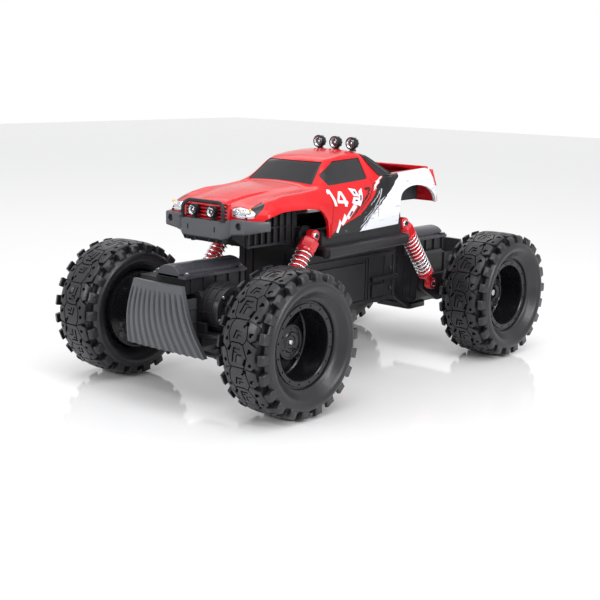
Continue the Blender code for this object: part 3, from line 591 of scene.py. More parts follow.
# tread pattern, in millimetres: (along the tread, across it) for one repeat of 39.3 mm
HEXAGON = [(-10.6, -6.6), (-10.6, 6.4), (-8.8, 8.0), (-1.6, 10.4), (8.4, 6.0), (9.6, 2.0), (9.6, -6.0),
           (8.0, -7.6), (1.6, -11.0), (-8.0, -9.0)]
SMALL_PAD = [(8.4, 6.0), (13.4, 9.4), (20.0, 8.6), (28.67, 6.4), (28.67, -6.6), (24.6, -9.4), (16.0, -10.8),
             (8.0, -7.6),
             (9.6, -6.0), (9.6, 2.0)]
SHOULDERS = [
    [(-10.6, 6.4), (-8.8, 8.0), (-1.6, 10.4), (8.4, 6.0), (13.4, 9.4), (11.2, 13.0), (8.0, 18.0),
     (-8.6, 18.0), (-12.0, 14.0)],
    [(13.4, 9.4), (20.0, 8.6), (28.67, 6.4), (27.27, 14.0), (25.4, 18.0), (14.4, 18.0), (11.2, 13.0)],
    [(-10.6, -6.6), (-8.0, -9.0), (1.6, -11.0), (5.2, -14.0), (3.4, -18.0), (-9.4, -18.0), (-12.4, -13.0)],
    [(1.6, -11.0), (8.0, -7.6), (16.0, -10.8), (24.6, -9.4), (28.67, -6.6), (26.87, -13.0), (24.4, -18.0),
     (8.0, -18.0), (5.2, -14.0)],
]
GROOVES = [((-6.6, -5.0), (5.6, -3.2), 1.7), ((5.0, -3.8), (5.0, 3.8), 1.7), ((2.0, -3.6), (2.0, 0.4), 1.3),
           ((-6.6, -1.2), (0.0, 0.0), 1.2),
           ((0.2, 0.6), (-0.2, 5.4), 1.2), ((12.6, -5.0), (19.6, -2.8), 1.5),
           ((19.0, -3.2), (18.4, 2.8), 1.4), ((12.6, -1.6), (15.6, -0.6), 1.1),
           ((15.8, -1.0), (15.2, 3.6), 1.1)]
PITS = [((-2.4, 9.2), (-8.2, 6.6), 2.3), ((-8.4, 12.2), (-6.2, 14.2), 2.6), ((24.0, 7.0), (27.2, 7.0), 3.4),
        ((22.2, 3.6), (24.6, 5.2), 1.7),
        ((15.4, 12.0), (18.2, 12.0), 2.6), ((18.2, 12.0), (18.2, 14.8), 1.4),
        ((3.0, 12.4), (6.0, 13.2), 2.8), ((2.2, 11.0), (4.4, 15.2), 1.4),
        ((-7.0, -12.0), (-4.6, -13.6), 2.8), ((10.2, -12.6), (13.0, -11.6), 2.6),
        ((18.6, -13.6), (21.6, -12.8), 2.6), ((2.4, -9.2), (7.0, -6.8), 2.1)]


def tread_mesh():
    """All the tread blocks, bent round the tyre about local Z."""
    cell = bmesh.new()
    for i, points in enumerate([HEXAGON, SMALL_PAD] + SHOULDERS):
        outline = scaled(inset(points, 1.0 if i < 2 else 0.8))
        cutters = []
        for bars, floor in ((GROOVES, TREAD_R - 0.0017), (PITS, GROOVE_R + 0.0002)):
            cutters += [flat_block(scaled(bar(*shape)), floor, TREAD_R + 0.002) for shape in bars
                        if i < 2 or bars is PITS]
        mesh = boolean_mesh(flat_block(outline, GROOVE_R - 0.0008, TREAD_R), cutters)
        part = bmesh.new()
        part.from_mesh(mesh)
        bpy.data.meshes.remove(mesh)
        edges = [e for e in part.edges if len(e.link_faces) == 2 and e.calc_face_angle(0) > radians(30)
                 and min(vert.co.z for vert in e.verts) > TREAD_R - 0.0001]
        bmesh.ops.bevel(part, geom=edges, offset=0.00035, segments=1, affect="EDGES", clamp_overlap=True)
        for cut_u in np.arange(-0.0105, 0.028, 0.0035):
            bmesh.ops.bisect_plane(part, geom=part.verts[:] + part.edges[:] + part.faces[:],
                                   plane_co=(cut_u, 0, 0), plane_no=(1, 0, 0))
        for cut_v in (-0.016, -0.014, 0.014, 0.016):
            bmesh.ops.bisect_plane(part, geom=part.verts[:] + part.edges[:] + part.faces[:],
                                   plane_co=(0, cut_v, 0), plane_no=(0, 1, 0))
        merge(cell, part)
    bmesh.ops.triangulate(cell, faces=[f for f in cell.faces if len(f.verts) > 4])
    out = bmesh.new()
    for k in range(CELLS):
        copy = cell.copy()
        for vert in copy.verts:
            along, across, r = vert.co
            edge = max(0.0, abs(across) - 0.012) / 0.006
            r -= 0.0006 * (across / 0.018) ** 2 + 0.0016 * edge ** 2       # the shoulders fall away
            turn = -(along + k * CELL) / TREAD_R
            vert.co = (r * cos(turn), r * sin(turn), across)
        merge(out, copy)
    cell.free()
    # square lugs on the side walls, clear of the tread
    for i in range(LUGS):
        for side in (1, -1):
            low, high = sorted((side * 0.0212, side * (0.0264 if i % 2 else 0.0258)))
            width = 0.0041 if i % 2 else 0.0046
            block = bmesh.new()
            add_box(block, (0.0515, -width, low), (0.0616, width, high))
            for vert in block.verts:
                if vert.co.x > 0.06 and abs(vert.co.z) > 0.024:
                    vert.co.x -= 0.0016
                    vert.co.z -= side * 0.0008
            bmesh.ops.bevel(block, geom=block.edges[:], offset=0.0005, segments=1, affect="EDGES")
            block.transform(Matrix.Rotation(2 * pi * (i + (0.1 if side > 0 else 0.6)) / LUGS, 4, "Z"))
            merge(out, block)
    return out


def tyre_mesh():
    """Side walls and carcass turned smoothly, with the tread blocks set on it."""
    wall = hermite([(0.0366, 0.015), (0.0367, 0.0176), (0.0376, 0.019), (0.04, 0.0206), (0.043, 0.0234),
                    (0.046, 0.0262),
                    (0.049, 0.0274), (0.0518, 0.027), (0.0539, 0.0253), (0.0548, 0.023), (0.0542, 0.0212)],
                   4)
    tread = [(0.0522, 0.0205), (0.0518, 0.0192), (0.0545, 0.018), (0.0574, 0.0173), (0.0584, 0.014),
             (0.0588, 0.008), (0.0589, 0.0)]
    half = wall + tread
    profile = half + [(r, -h) for r, h in reversed(half[:-1])]
    inner = [(0.0366, -0.014), (0.04, -0.0165), (0.049, -0.0225), (0.052, -0.015), (0.055, 0.0),
             (0.052, 0.015), (0.049, 0.0225), (0.04, 0.0165), (0.0366, 0.014)]
    bm = bmesh.new()
    add_lathe(bm, profile + inner, 120, closed=True)
    bmesh.ops.recalc_face_normals(bm, faces=bm.faces)
    merge(bm, tread_mesh())
    mesh = bpy.data.meshes.new("tyre")
    bm.to_mesh(mesh)
    bm.free()
    mesh.transform(FACE_X)
    return mesh


def rim_mesh():
    """Deep dish with a bolted bead ring and a web with five windows."""
    profile = [(0.0299, 0.015), (0.0302, 0.0166), (0.0309, 0.0172), (0.0347, 0.0172), (0.035, 0.0167),
               (0.0351, 0.016),
               (0.0366, 0.016), (0.037, 0.0154), (0.0366, 0.0146), (0.0355, 0.0136), (0.0355, -0.0235),
               (0.0338, -0.0235),
               (0.0338, -0.019), (0.006, -0.019), (0.006, -0.011), (0.03, -0.012), (0.0322, -0.01),
               (0.032, 0.002),
               (0.0306, 0.013)]
    base = bmesh.new()
    add_lathe(base, profile, 96, closed=True)
    cutters = []
    for i in range(5):
        a = 2 * pi * (i + 0.25) / 5
        wedge = []
        for r, spread in ((0.018, 0.46), (0.0312, 0.53)):
            wedge += [(r * cos(a + spread * t), r * sin(a + spread * t))
                      for t in ((-1, -0.6, -0.2, 0.2, 0.6, 1)
                                if r < 0.02 else (1, 0.6, 0.2, -0.2, -0.6, -1))]
        cutter = bmesh.new()
        add_prism(cutter, wedge, -0.0165, -0.008)
        cutters.append(cutter)
    for i in range(BEAD_BOLTS):
        a = 2 * pi * (i + 0.5) / BEAD_BOLTS
        cutter = bmesh.new()
        add_rod(cutter, (0.0328 * cos(a), 0.0328 * sin(a), 0.0158), (0.0328 * cos(a), 0.0328 * sin(a), 0.03),
                0.00095, 12)
        cutters.append(cutter)
    mesh = boolean_mesh(base, cutters)
    bm = bmesh.new()
    bm.from_mesh(mesh)
    bpy.data.meshes.remove(mesh)
    for i in range(BEAD_BOLTS):                    # bolt heads down in the holes of the bead ring
        a = 2 * pi * (i + 0.5) / BEAD_BOLTS
        bolt = bmesh.new()
        place = (0.0328 * cos(a), 0.0328 * sin(a))
        add_rod(bolt, (*place, 0.015), (*place, 0.0163), 0.0007, 6)
        merge(bm, bolt)
    for i in range(5):                             # raised rib along each spoke
        a = 2 * pi * (i + 0.75) / 5
        rib = bmesh.new()
        add_box(rib, (0.013, -0.0012, -0.014), (0.0305, 0.0012, -0.0095), Matrix.Rotation(a, 4, "Z"))
        merge(bm, rib)
    mesh = bpy.data.meshes.new("rim")
    bm.to_mesh(mesh)
    bm.free()
    mesh.transform(FACE_X)
    return mesh


def hub_mesh(recessed):
    """Round hub plate with a raised ring and six small screw holes; the rear ones have a deep nut hole."""
    centre = [(0.005, -0.013), (0.005, 0.0016), (0.0058, 0.0022)] if recessed else \
        [(0.0024, -0.013), (0.0024, 0.001), (0.0034, 0.0014), (0.0052, 0.0014), (0.0058, 0.0022)]
    profile = centre + [(0.0082, 0.0026), (0.0092, 0.0018), (0.0126, 0.0014), (0.0131, 0.0019),
                        (0.0146, 0.0017),
                        (0.0154, 0.0007), (0.0156, -0.0012), (0.015, -0.013)]
    base = bmesh.new()
    add_lathe(base, profile, 72, closed=True)
    cutters = []
    for i in range(6):
        a = 2 * pi * i / 6
        cutter = bmesh.new()
        add_rod(cutter, (0.011 * cos(a), 0.011 * sin(a), 0.0002), (0.011 * cos(a), 0.011 * sin(a), 0.01),
                0.0008, 12)
        cutters.append(cutter)
    for a in (0.4, 0.4 + pi):
        cutter = bmesh.new()
        add_box(cutter, (0.0064, -0.0022, 0.001), (0.0078, 0.0022, 0.01), Matrix.Rotation(a, 4, "Z"))
        cutters.append(cutter)
    mesh = boolean_mesh(base, cutters)
    mesh.transform(FACE_X)
    return mesh


def wheel_place(side, end):
    turn = Matrix.Identity(4) if side > 0 else Matrix.Rotation(pi, 4, "Z")
    return Matrix.Translation((side * WHEEL_X, end * AXLE_Y, AXLE_Z)) @ turn


def build_wheels():
    tyre, rim = tyre_mesh(), rim_mesh()
    hubs = {-1: hub_mesh(False), 1: hub_mesh(True)}
    for end, word in ((-1, "front"), (1, "rear")):
        for side, side_word in SIDES:
            name = f"{word}_{side_word}"
            body = f"{name}_wheel" if end < 0 else "rear_wheels"
            place = wheel_place(side, end)
            spin = Matrix.Rotation(pi / 2 * (side > 0) + pi * (end > 0), 4, "X")
            from_mesh(f"{name}_tyre_knobbly", tyre, body, "rubber", (f"{name}_tyre",),
                      angle=38, place=place @ spin)
            from_mesh(f"{name}_rim_dish", rim, body, "rim", (f"{name}_rim",), angle=30,
                      place=place)
            from_mesh(f"{name}_hub_plate", hubs[end], body, "rim", angle=30, place=place)
            bm = bmesh.new()
            seat = Matrix.Translation((0.0004 if end < 0 else -0.006, 0, 0))
            add_lathe(bm, [(0.0, 0.0016), (0.0008, 0.0016), (0.001, 0.0024), (0.0017, 0.0023),
                           (0.0023, 0.0016), (0.0024, 0.0004),
                           (0.0, 0.0004)], 28, seat @ FACE_X)
            piece(f"{name}_wheel_screw", bm, body, "steel", place=place)


def build_shafts():
    """Smooth shafts with their gears; the wheel screws are pieces of their own."""
    for side, word in SIDES:
        bm = bmesh.new()
        x = (0.0655, WHEEL_X + 0.0008)
        add_rod(bm, (side * x[0], -AXLE_Y, AXLE_Z), (side * x[1], -AXLE_Y, AXLE_Z), 0.003, 32)
        piece(f"front_{word}_stub_shaft", bm, f"front_{word}_wheel", "steel",
              (f"front_{word}_axle_shaft",))
    for word, end, reach, body in (("front", -1, 0.057, "front_drive_shaft"),
                                   ("rear", 1, WHEEL_X + 0.0008, "rear_wheels")):
        bm = bmesh.new()
        add_rod(bm, (-reach, end * AXLE_Y, AXLE_Z), (reach, end * AXLE_Y, AXLE_Z), 0.003, 32)
        outline = []
        for i in range(20):
            for r, offset in ((0.0133, -0.3), (0.0153, -0.14), (0.0153, 0.14), (0.0133, 0.3)):
                a = 2 * pi * (i + offset) / 20
                outline.append((r * cos(a), r * sin(a)))
        place = Matrix.Translation((end * 0.006, end * AXLE_Y, AXLE_Z)) @ FACE_X
        add_prism(bm, outline, -0.003, 0.003, place)
        piece(f"{word}_final_drive", bm, body, "steel", (f"{word}_drive_shaft",))


# ---------------------------------------------------------------- body shell
# (y, value) pairs along the body, front to back; close to the CAD shell, not everywhere the same
TOP_Z = [(-0.148, 0.1665), (-0.144, 0.169), (-0.135, 0.1712), (-0.12, 0.1742), (-0.105, 0.1765),
         (-0.08, 0.1788),
         (-0.06, 0.1808), (-0.036, 0.2018), (-0.028, 0.205), (-0.01, 0.2078), (0.01, 0.2092),
         (0.018, 0.2092),
         (0.022, 0.2076), (0.027, 0.2066), (0.036, 0.1885), (0.118, 0.1915)]
TOP_X = [(-0.148, 0.033), (-0.12, 0.035), (-0.06, 0.04), (-0.036, 0.0345), (0.025, 0.034), (0.036, 0.044),
         (0.118, 0.044)]
BELT_Z = [(-0.148, 0.1625), (-0.135, 0.1683), (-0.122, 0.1732), (-0.105, 0.1765), (-0.08, 0.1772),
          (-0.06, 0.1792),
          (0.025, 0.183), (0.036, 0.1856), (0.118, 0.1912)]
BELT_X = [(-0.148, 0.044), (-0.135, 0.05), (-0.105, 0.0485), (-0.06, 0.05), (0.025, 0.05), (0.036, 0.056),
          (0.118, 0.054)]
SIDE_X = [(-0.148, 0.047), (-0.135, 0.058), (-0.12, 0.06), (0.105, 0.06), (0.118, 0.057)]
LOW_Z = [(-0.148, 0.1515), (-0.125, 0.15), (-0.115, 0.145), (-0.056, 0.1345), (0.052, 0.138), (0.118, 0.148)]
FRONT_ARCH = [(-0.14, 0.1545), (-0.1351, 0.1581), (-0.126, 0.161), (-0.1163, 0.163), (-0.0871, 0.1631),
              (-0.0694, 0.1609),
              (-0.061, 0.1545), (-0.0575, 0.148), (-0.0543, 0.1335)]
REAR_ARCH = [(0.052, 0.164), (0.0546, 0.1692), (0.064, 0.1732), (0.0763, 0.1746), (0.088, 0.1732),
             (0.0986, 0.1699),
             (0.106, 0.165), (0.1105, 0.161), (0.1142, 0.1549)]
SIDE_WINDOW = [(-0.0462, 0.189), (-0.024, 0.2008), (0.0143, 0.2025), (0.013, 0.1833), (-0.0445, 0.1803)]
WINDSCREEN = [(0.0395, 0.1812), (0.0325, 0.2002)]
REAR_SLANT = [(0.1045, 0.2), (0.1045, 0.1915), (0.1205, 0.156), (0.14, 0.156), (0.14, 0.2)]
SHELL_WALL = 0.0016
NOSE_WALL = 0.005
NOSE_Y = -0.148
EDGE_DROP = 0.0026
ARCH_FLARE = 0.0016       # how far the lip of the arches stands out
FLARE_REACH = 0.007


def step(value, low, high):
    t = min(1.0, max(0.0, (value - low) / (high - low)))
    return t * t * (3 - 2 * t)


def arch_distance(y, z):
    """Distance from the point to the nearer arch line."""
    best = 1.0
    for line in (FRONT_ARCH, REAR_ARCH):
        for (ya, za), (yb, zb) in zip(line, line[1:]):
            dy, dz = yb - ya, zb - za
            t = min(1.0, max(0.0, ((y - ya) * dy + (z - za) * dz) / (dy * dy + dz * dz)))
            best = min(best, hypot(y - ya - t * dy, z - za - t * dz))
    return best


def half_section(y, inset=0.0, floor=None, detail=True):
    """Rounded half section of the body at y, from the middle of the top down to the sill."""
    blur = 0.003
    top_z, top_x = soft(TOP_Z, y, 0.0024) - inset, soft(TOP_X, y, blur) - inset
    belt_x, belt_z = soft(BELT_X, y, blur) - inset, soft(BELT_Z, y, blur) - inset / 2
    side_x, low_z = soft(SIDE_X, y, blur) - inset, soft(LOW_Z, y, blur)
    fall = belt_z - low_z
    end = low_z if floor is None else floor
    corners = [(0.0, top_z), (0.55 * top_x, top_z - 0.3 * EDGE_DROP), (top_x, top_z - EDGE_DROP),
               (belt_x, belt_z),
               (side_x, belt_z - 0.3 * fall), (side_x, low_z + 0.25 * fall), (side_x - 0.0015, end)]
    line = [Vector((x, 0.0, z)) for x, z in corners]
    fine = rounded(line, 0.0045, 5)
    out = []
    for a, b in zip(fine, fine[1:]):                 # long runs get points in between
        out.append(a)
        if b == fine[-1] or (b - a).length > 0.0:
            out.append((a + b) / 2)
    out.append(fine[-1])
    points = []
    for p in out:
        x, z = p.x, p.z
        if detail:
            # raised middle of the bonnet, narrowing to the grille
            edge = 0.02 + 0.013 * step(y, -0.14, -0.062)
            on_bonnet = step(y, -0.147, -0.138) * (1 - step(y, -0.066, -0.058))
            z += 0.0016 * on_bonnet * (1 - step(x, edge - 0.0035, edge + 0.0015))
            flare = 1 - step(arch_distance(y, z), 0.0, FLARE_REACH)
            x += ARCH_FLARE * flare * step(x, 0.045, 0.052)
        points.append((x, z))
    return points


def shell_stations(start, stop):
    """Stations 2.5 mm apart, with both ends added."""
    fixed = np.arange(start, stop, 0.0025)
    return [float(y) for y in sorted({round(y, 5) for y in [*fixed, start, stop]})]


def body_loft(stations, inset, floor=None, detail=True):
    bm = bmesh.new()
    rows = []
    for y in stations:
        half = half_section(y, inset, floor, detail)
        rows.append([(x, y, z) for x, z in half] + [(-x, y, z) for x, z in reversed(half[1:])])
    add_loft(bm, rows)
    return bm


def side_prism(points, reach=0.15):
    """Closed (y, z) outline that runs right across the car."""
    bm = bmesh.new()
    place = SIDEWAYS
    add_prism(bm, points, -reach, reach, place)
    return bm


def front_prism(points, y0, y1):
    """Closed (x, z) outline that runs from y0 to y1."""
    bm = bmesh.new()
    place = LENGTHWISE
    add_prism(bm, points, y0, y1, place)
    return bm


def round_outline(points, radius, steps=4):
    """Closed 2-D outline with rounded corners."""
    pts = [Vector((x, y, 0)) for x, y in points]
    out = []
    for before, corner, after in zip([pts[-1]] + pts, pts, pts[1:] + pts[:1]):
        reach = min(radius, 0.4 * (before - corner).length, 0.4 * (after - corner).length)
        a = corner + (before - corner).normalized() * reach
        b = corner + (after - corner).normalized() * reach
        for i in range(steps + 1):
            t = i / steps
            q = a * (1 - t) ** 2 + corner * (2 * t * (1 - t)) + b * t * t
            out.append((q.x, q.y))
    return out


def grown(points, amount):
    """Outline moved outwards."""
    centre = Vector((sum(p[0] for p in points) / len(points), sum(p[1] for p in points) / len(points)))
    return [tuple(Vector(p) + (Vector(p) - centre).normalized() * amount) for p in points]


def windscreen_outline():
    """Bowed lower edge and straight upper edge."""
    (x0, z0), (x1, z1) = WINDSCREEN
    low = [(x0 * t, z0 + 0.0016 - 0.0016 * t * t) for t in (0.25, 0.5, 0.75)]
    return round_outline(
            [(0.0, z0 + 0.0016)] + low + [(x0, z0), (x1, z1)] + [(-x1, z1), (-x0, z0)] + [(-x, z) for x,
                    z in reversed(low)], 0.0016)


def headlight_prism(side, grow=0.0):
    """Opening for the headlight: tall inboard, swept back round the corner to a point."""
    bm = bmesh.new()
    pts = [(0.0285, 0.159), (0.0285, 0.1662), (0.04, 0.169), (0.05, 0.1694), (0.05, 0.1588), (0.04, 0.1578)]
    pts = grown(pts, grow)
    rows = []
    for y in (-0.156, -0.1415):
        rows.append([(side * x, y, z) for x, z in pts])
    add_loft(bm, rows)
    return bm


def headlight_tail(side, grow=0.0):
    """Side outline of the part of the headlight that wraps round the corner."""
    bm = bmesh.new()
    pts = grown([(-0.16, 0.157), (-0.16, 0.1698), (-0.1415, 0.17), (-0.124, 0.1728), (-0.139, 0.1632),
                 (-0.144, 0.1585)], grow)
    place = SIDEWAYS
    add_prism(bm, pts, min(side * 0.044, side * 0.08), max(side * 0.044, side * 0.08), place)
    return bm


def build_shell():
    stations = shell_stations(NOSE_Y, 0.12)
    inside = [NOSE_Y + NOSE_WALL] + [y for y in stations if -0.141 < y < 0.1155] + [0.1185]
    arch_front = [(-0.1373, 0.11)] + hermite(FRONT_ARCH, 5) + [(-0.056, 0.11)]
    arch_rear = [(0.0525, 0.11)] + hermite(REAR_ARCH, 5) + [(0.13, 0.155), (0.13, 0.11)]
    cutters = [body_loft(inside, SHELL_WALL, 0.12, False), side_prism(arch_front), side_prism(arch_rear),
               side_prism(round_outline(SIDE_WINDOW, 0.0022)),
               front_prism(windscreen_outline(), -0.075, -0.015),
               front_prism(round_outline(
                       [(-0.0265, 0.1915), (0.0265, 0.1915), (0.0245, 0.2022), (-0.0245, 0.2022)], 0.0016),
                           0.018, 0.05)]
    bed = bmesh.new()
    add_box(bed, (-0.046, 0.04, 0.15), (0.046, 0.1005, 0.21))
    cutters.append(bed)
    cutters.append(side_prism(REAR_SLANT))
    for side in (1, -1):
        cutters += [headlight_prism(side), headlight_tail(side)]
    mesh = boolean_mesh(body_loft(stations, 0.0), cutters)
    return from_mesh("body_shell_moulded", mesh, "chassis", "body", ("body_shell",), angle=28)


def build_glass():
    """Dark panes just below the shell's surface."""
    stations = [y for y in shell_stations(-0.08, 0.05)]
    bm_all = bmesh.new()
    for cutter in (side_prism(grown(round_outline(SIDE_WINDOW, 0.0022), 0.0004)),
                   front_prism(grown(windscreen_outline(), 0.0004), -0.075, -0.015),
                   front_prism(grown(
                           [(-0.0265, 0.1915), (0.0265, 0.1915), (0.0245, 0.2022), (-0.0245, 0.2022)],
                                     0.0004), 0.018, 0.05)):
        inner = body_loft(stations, 0.0015, 0.12, False)
        outer = body_loft(stations, 0.0005, 0.121, False)
        skin = boolean_mesh(outer, [inner])
        bm = bmesh.new()
        bm.from_mesh(skin)
        pane = boolean_mesh(bm, [cutter], "INTERSECT")
        bm_all.from_mesh(pane)
    mesh = bpy.data.meshes.new("glass")
    bm_all.to_mesh(mesh)
    bm_all.free()
    from_mesh("cab_windows", mesh, "chassis", "window", angle=28)


# ---------------------------------------------------------------- body fittings
def side_x(y, z):
    """Half width of the body's outer surface at (y, z)."""
    half = half_section(min(max(y, -0.147), 0.117))
    best = None
    for (xa, za), (xb, zb) in zip(half, half[1:]):
        if (za - z) * (zb - z) <= 0 and abs(za - zb) > 1e-7:
            x = xa + (xb - xa) * (za - z) / (za - zb)
            best = x if best is None else max(best, x)
    return best if best is not None else (half[-1][0] if z < half[-1][1] else half[0][0])


def close_grids(bm, layers, n, m):
    """Skins two grids of n by m cells and joins their rims, which makes a closed plate."""
    for grid in layers:
        for i in range(n):
            for j in range(m):
                bm.faces.new((grid[i][j], grid[i + 1][j], grid[i + 1][j + 1], grid[i][j + 1]))
    a, b = layers
    edge = [(i, 0) for i in range(n)] + [(n, j) for j in range(m)]
    edge += [(i, m) for i in range(n, 0, -1)] + [(0, j) for j in range(m, 0, -1)]
    for (i, j), (k, l) in zip(edge, edge[1:] + edge[:1]):
        bm.faces.new((a[i][j], a[k][l], b[k][l], b[i][j]))


def side_patch(bm, corners, side, lift=0.0003, steps=(6, 6), depth=0.0006, surface=side_x):
    """Four-cornered (y, z) patch laid over the side of the body, as a thin closed plate."""
    (y0, z0), (y1, z1), (y2, z2), (y3, z3) = corners
    n, m = steps
    layers = []
    for out in (lift, lift - depth):
        grid = []
        for i in range(n + 1):
            row = []
            for j in range(m + 1):
                u, v = i / n, j / m
                y = (y0 * (1 - u) + y1 * u) * (1 - v) + (y3 * (1 - u) + y2 * u) * v
                z = (z0 * (1 - u) + z1 * u) * (1 - v) + (z3 * (1 - u) + z2 * u) * v
                row.append(bm.verts.new((side * (surface(y, z) + out), y, z)))
            grid.append(row)
        layers.append(grid)
    close_grids(bm, layers, n, m)


def build_decals():
    """Race number, generic shards and door handles on both sides."""
    def place(points, side):
        return points if side > 0 else [(-0.084 - y, z) for y, z in points]

    one = [[(-0.0497, 0.1775), (-0.0466, 0.1771), (-0.0438, 0.1625), (-0.0472, 0.1628)],
           [(-0.0518, 0.1752), (-0.0497, 0.1775), (-0.049, 0.1746), (-0.0512, 0.1733)]]
    four = [[(-0.0358, 0.1752), (-0.0322, 0.1748), (-0.029, 0.1612), (-0.0326, 0.1614)],
            [(-0.0358, 0.1752), (-0.0337, 0.175), (-0.0402, 0.1676), (-0.0424, 0.168)],
            [(-0.0426, 0.168), (-0.0288, 0.1664), (-0.028, 0.1636), (-0.0424, 0.1652)]]
    shards = [[(-0.0205, 0.177), (-0.012, 0.1755), (-0.0105, 0.169), (-0.018, 0.17)],
              [(-0.019, 0.169), (-0.011, 0.168), (-0.0155, 0.161), (-0.0225, 0.164)],
              [(-0.008, 0.1735), (-0.0025, 0.176), (-0.01, 0.16), (-0.015, 0.162)],
              [(-0.02, 0.1625), (-0.015, 0.16), (-0.027, 0.149), (-0.03, 0.152)],
              [(-0.033, 0.155), (-0.029, 0.15), (-0.0345, 0.144), (-0.0375, 0.146)],
              [(-0.04, 0.15), (-0.0372, 0.147), (-0.0405, 0.1375), (-0.0435, 0.1385)]]
    slits = [[(-0.0165, 0.1742), (-0.014, 0.1738), (-0.0138, 0.1716), (-0.016, 0.172)],
             [(-0.0172, 0.1668), (-0.0136, 0.1662), (-0.015, 0.165), (-0.0178, 0.1654)],
             [(-0.009, 0.17), (-0.007, 0.1706), (-0.009, 0.1652), (-0.0106, 0.1656)],
             [(-0.0225, 0.157), (-0.0208, 0.1556), (-0.0252, 0.1515), (-0.0264, 0.1526)]]
    streaks = [[(0.025, 0.174), (0.0262, 0.1738), (0.012, 0.156), (0.0112, 0.1562)],
               [(0.006, 0.148), (0.012, 0.1474), (0.0118, 0.1466), (0.005, 0.1472)],
               [(0.008, 0.152), (0.0092, 0.1518), (0.0, 0.14), (-0.001, 0.1402)],
               [(0.02, 0.164), (0.0208, 0.164), (0.018, 0.156), (0.0172, 0.156)]]
    for side, word in SIDES:
        for name, shapes, mat, lift in ((f"{word}_race_number", one + four, "paint_white", 0.0004),
                                        (f"{word}_shards", shards, "paint_white", 0.0004),
                                        (f"{word}_shard_slits", slits, "paint_black", 0.0006)):
            bm = bmesh.new()
            for shape in shapes:
                side_patch(bm, place(shape, side), side, lift, (4, 6), 0.001)
            piece(name, bm, "chassis", mat)
        bm = bmesh.new()
        for shape in streaks:
            side_patch(bm, shape, side, 0.0004, (2, 8), 0.0008)
        piece(f"{word}_quarter_streaks", bm, "chassis", "paint_grey")
        bm = bmesh.new()
        side_patch(bm, [(0.0022, 0.176), (0.0094, 0.1765), (0.0094, 0.1747), (0.0022, 0.1742)], side, 0.0008,
                   (6, 4), 0.0014)
        piece(f"{word}_door_handle", bm, "chassis", "dark", bevel=0.0003)
        bm = bmesh.new()
        for a, b in (((-0.0485, 0.18), (-0.05, 0.142)), ((0.017, 0.1835), (0.0185, 0.148))):     # door seams
            side_patch(bm, [(a[0] - 0.00025, a[1]), (a[0] + 0.00025, a[1]), (b[0] + 0.00025, b[1]),
                            (b[0] - 0.00025, b[1])], side, 0.00015, (1, 16), 0.0006)
        piece(f"{word}_door_seams", bm, "chassis", "seam")


def lamp(name, x, y, z, radius, depth, foot, node):
    """Round lamp facing forwards: ribbed dark housing, bright bowl, bulb and domed lens, on a short stem."""
    place = axis_matrix((x, y, z), (0, -1, 0))
    r = radius
    bm = bmesh.new()
    add_lathe(bm, [(0, -depth), (0.5 * r, -depth), (0.78 * r, -0.8 * depth), (0.92 * r, -0.45 * depth),
                   (0.92 * r, -0.3 * depth), (r, -0.28 * depth), (r, 0.0),
                   (0.96 * r, 0.0006), (0.82 * r, 0.0006), (0.78 * r, 0.0), (0.76 * r, -0.001), (0, -0.003)],
              32, place)
    for i in range(10):
        turn = place @ Matrix.Rotation(2 * pi * i / 10, 4, "Z")
        add_box(bm, (0.7 * r, -0.0004, -0.72 * depth), (0.94 * r, 0.0004, -0.25 * depth), turn)
    add_rod(bm, (x, y + 0.45 * depth, foot), (x, y + 0.45 * depth, z - 0.6 * r), 0.0017, 12)
    add_lathe(bm, [(0, foot + 0.0008), (0.003, foot + 0.0008), (0.0034, foot - 0.0012), (0, foot - 0.0012)],
              20, Matrix.Translation((x, y + 0.45 * depth, 0)))
    piece(f"{name}_housing", bm, "chassis", "dark", (node,), bevel=0.0002)
    bm = bmesh.new()
    add_lathe(bm, [(0.8 * r, 0.0002), (0.66 * r, -0.0012), (0.4 * r, -0.0024), (0.16 * r, -0.0028),
                   (0.16 * r, -0.0012), (0, -0.0008)], 32, place)
    piece(f"{name}_reflector", bm, "chassis", "reflector")
    bm = bmesh.new()
    add_lathe(bm, [(0, 0.0012), (0.35 * r, 0.0011), (0.62 * r, 0.0008), (0.8 * r, 0.0003), (0.8 * r, 0.0),
                   (0.62 * r, 0.0005), (0.35 * r, 0.0008), (0, 0.0009)], 32, place)
    piece(f"{name}_lens", bm, "chassis", "lens")


def build_lamps():
    for word, x in (("left", 0.0204), ("middle", 0.0), ("right", -0.0204)):
        lamp(f"{word}_roof_lamp", x, 0.0225, 0.2146, 0.0061, 0.0085, 0.208, f"{word}_roof_lamp")
    for word, x in (("left", 0.0114), ("right", -0.0114)):
        lamp(f"{word}_bull_lamp", x, -0.1572, 0.1618, 0.0052, 0.0075, 0.1545, f"{word}_bull_lamp")


def surface_pane(cutters, lift, depth):
    """Skin that follows the body surface inside the cutters, its outside at -lift."""
    stations = shell_stations(NOSE_Y, -0.118)
    outer = body_loft(stations, lift, 0.12, False)
    inner = body_loft([y for y in stations if y > NOSE_Y + depth], lift + depth, 0.119, False)
    bm = bmesh.new()
    bm.from_mesh(boolean_mesh(outer, [inner]))
    out = bmesh.new()
    for cutter in cutters:
        out.from_mesh(boolean_mesh(bm.copy(), [cutter], "INTERSECT"))
    bm.free()
    return out


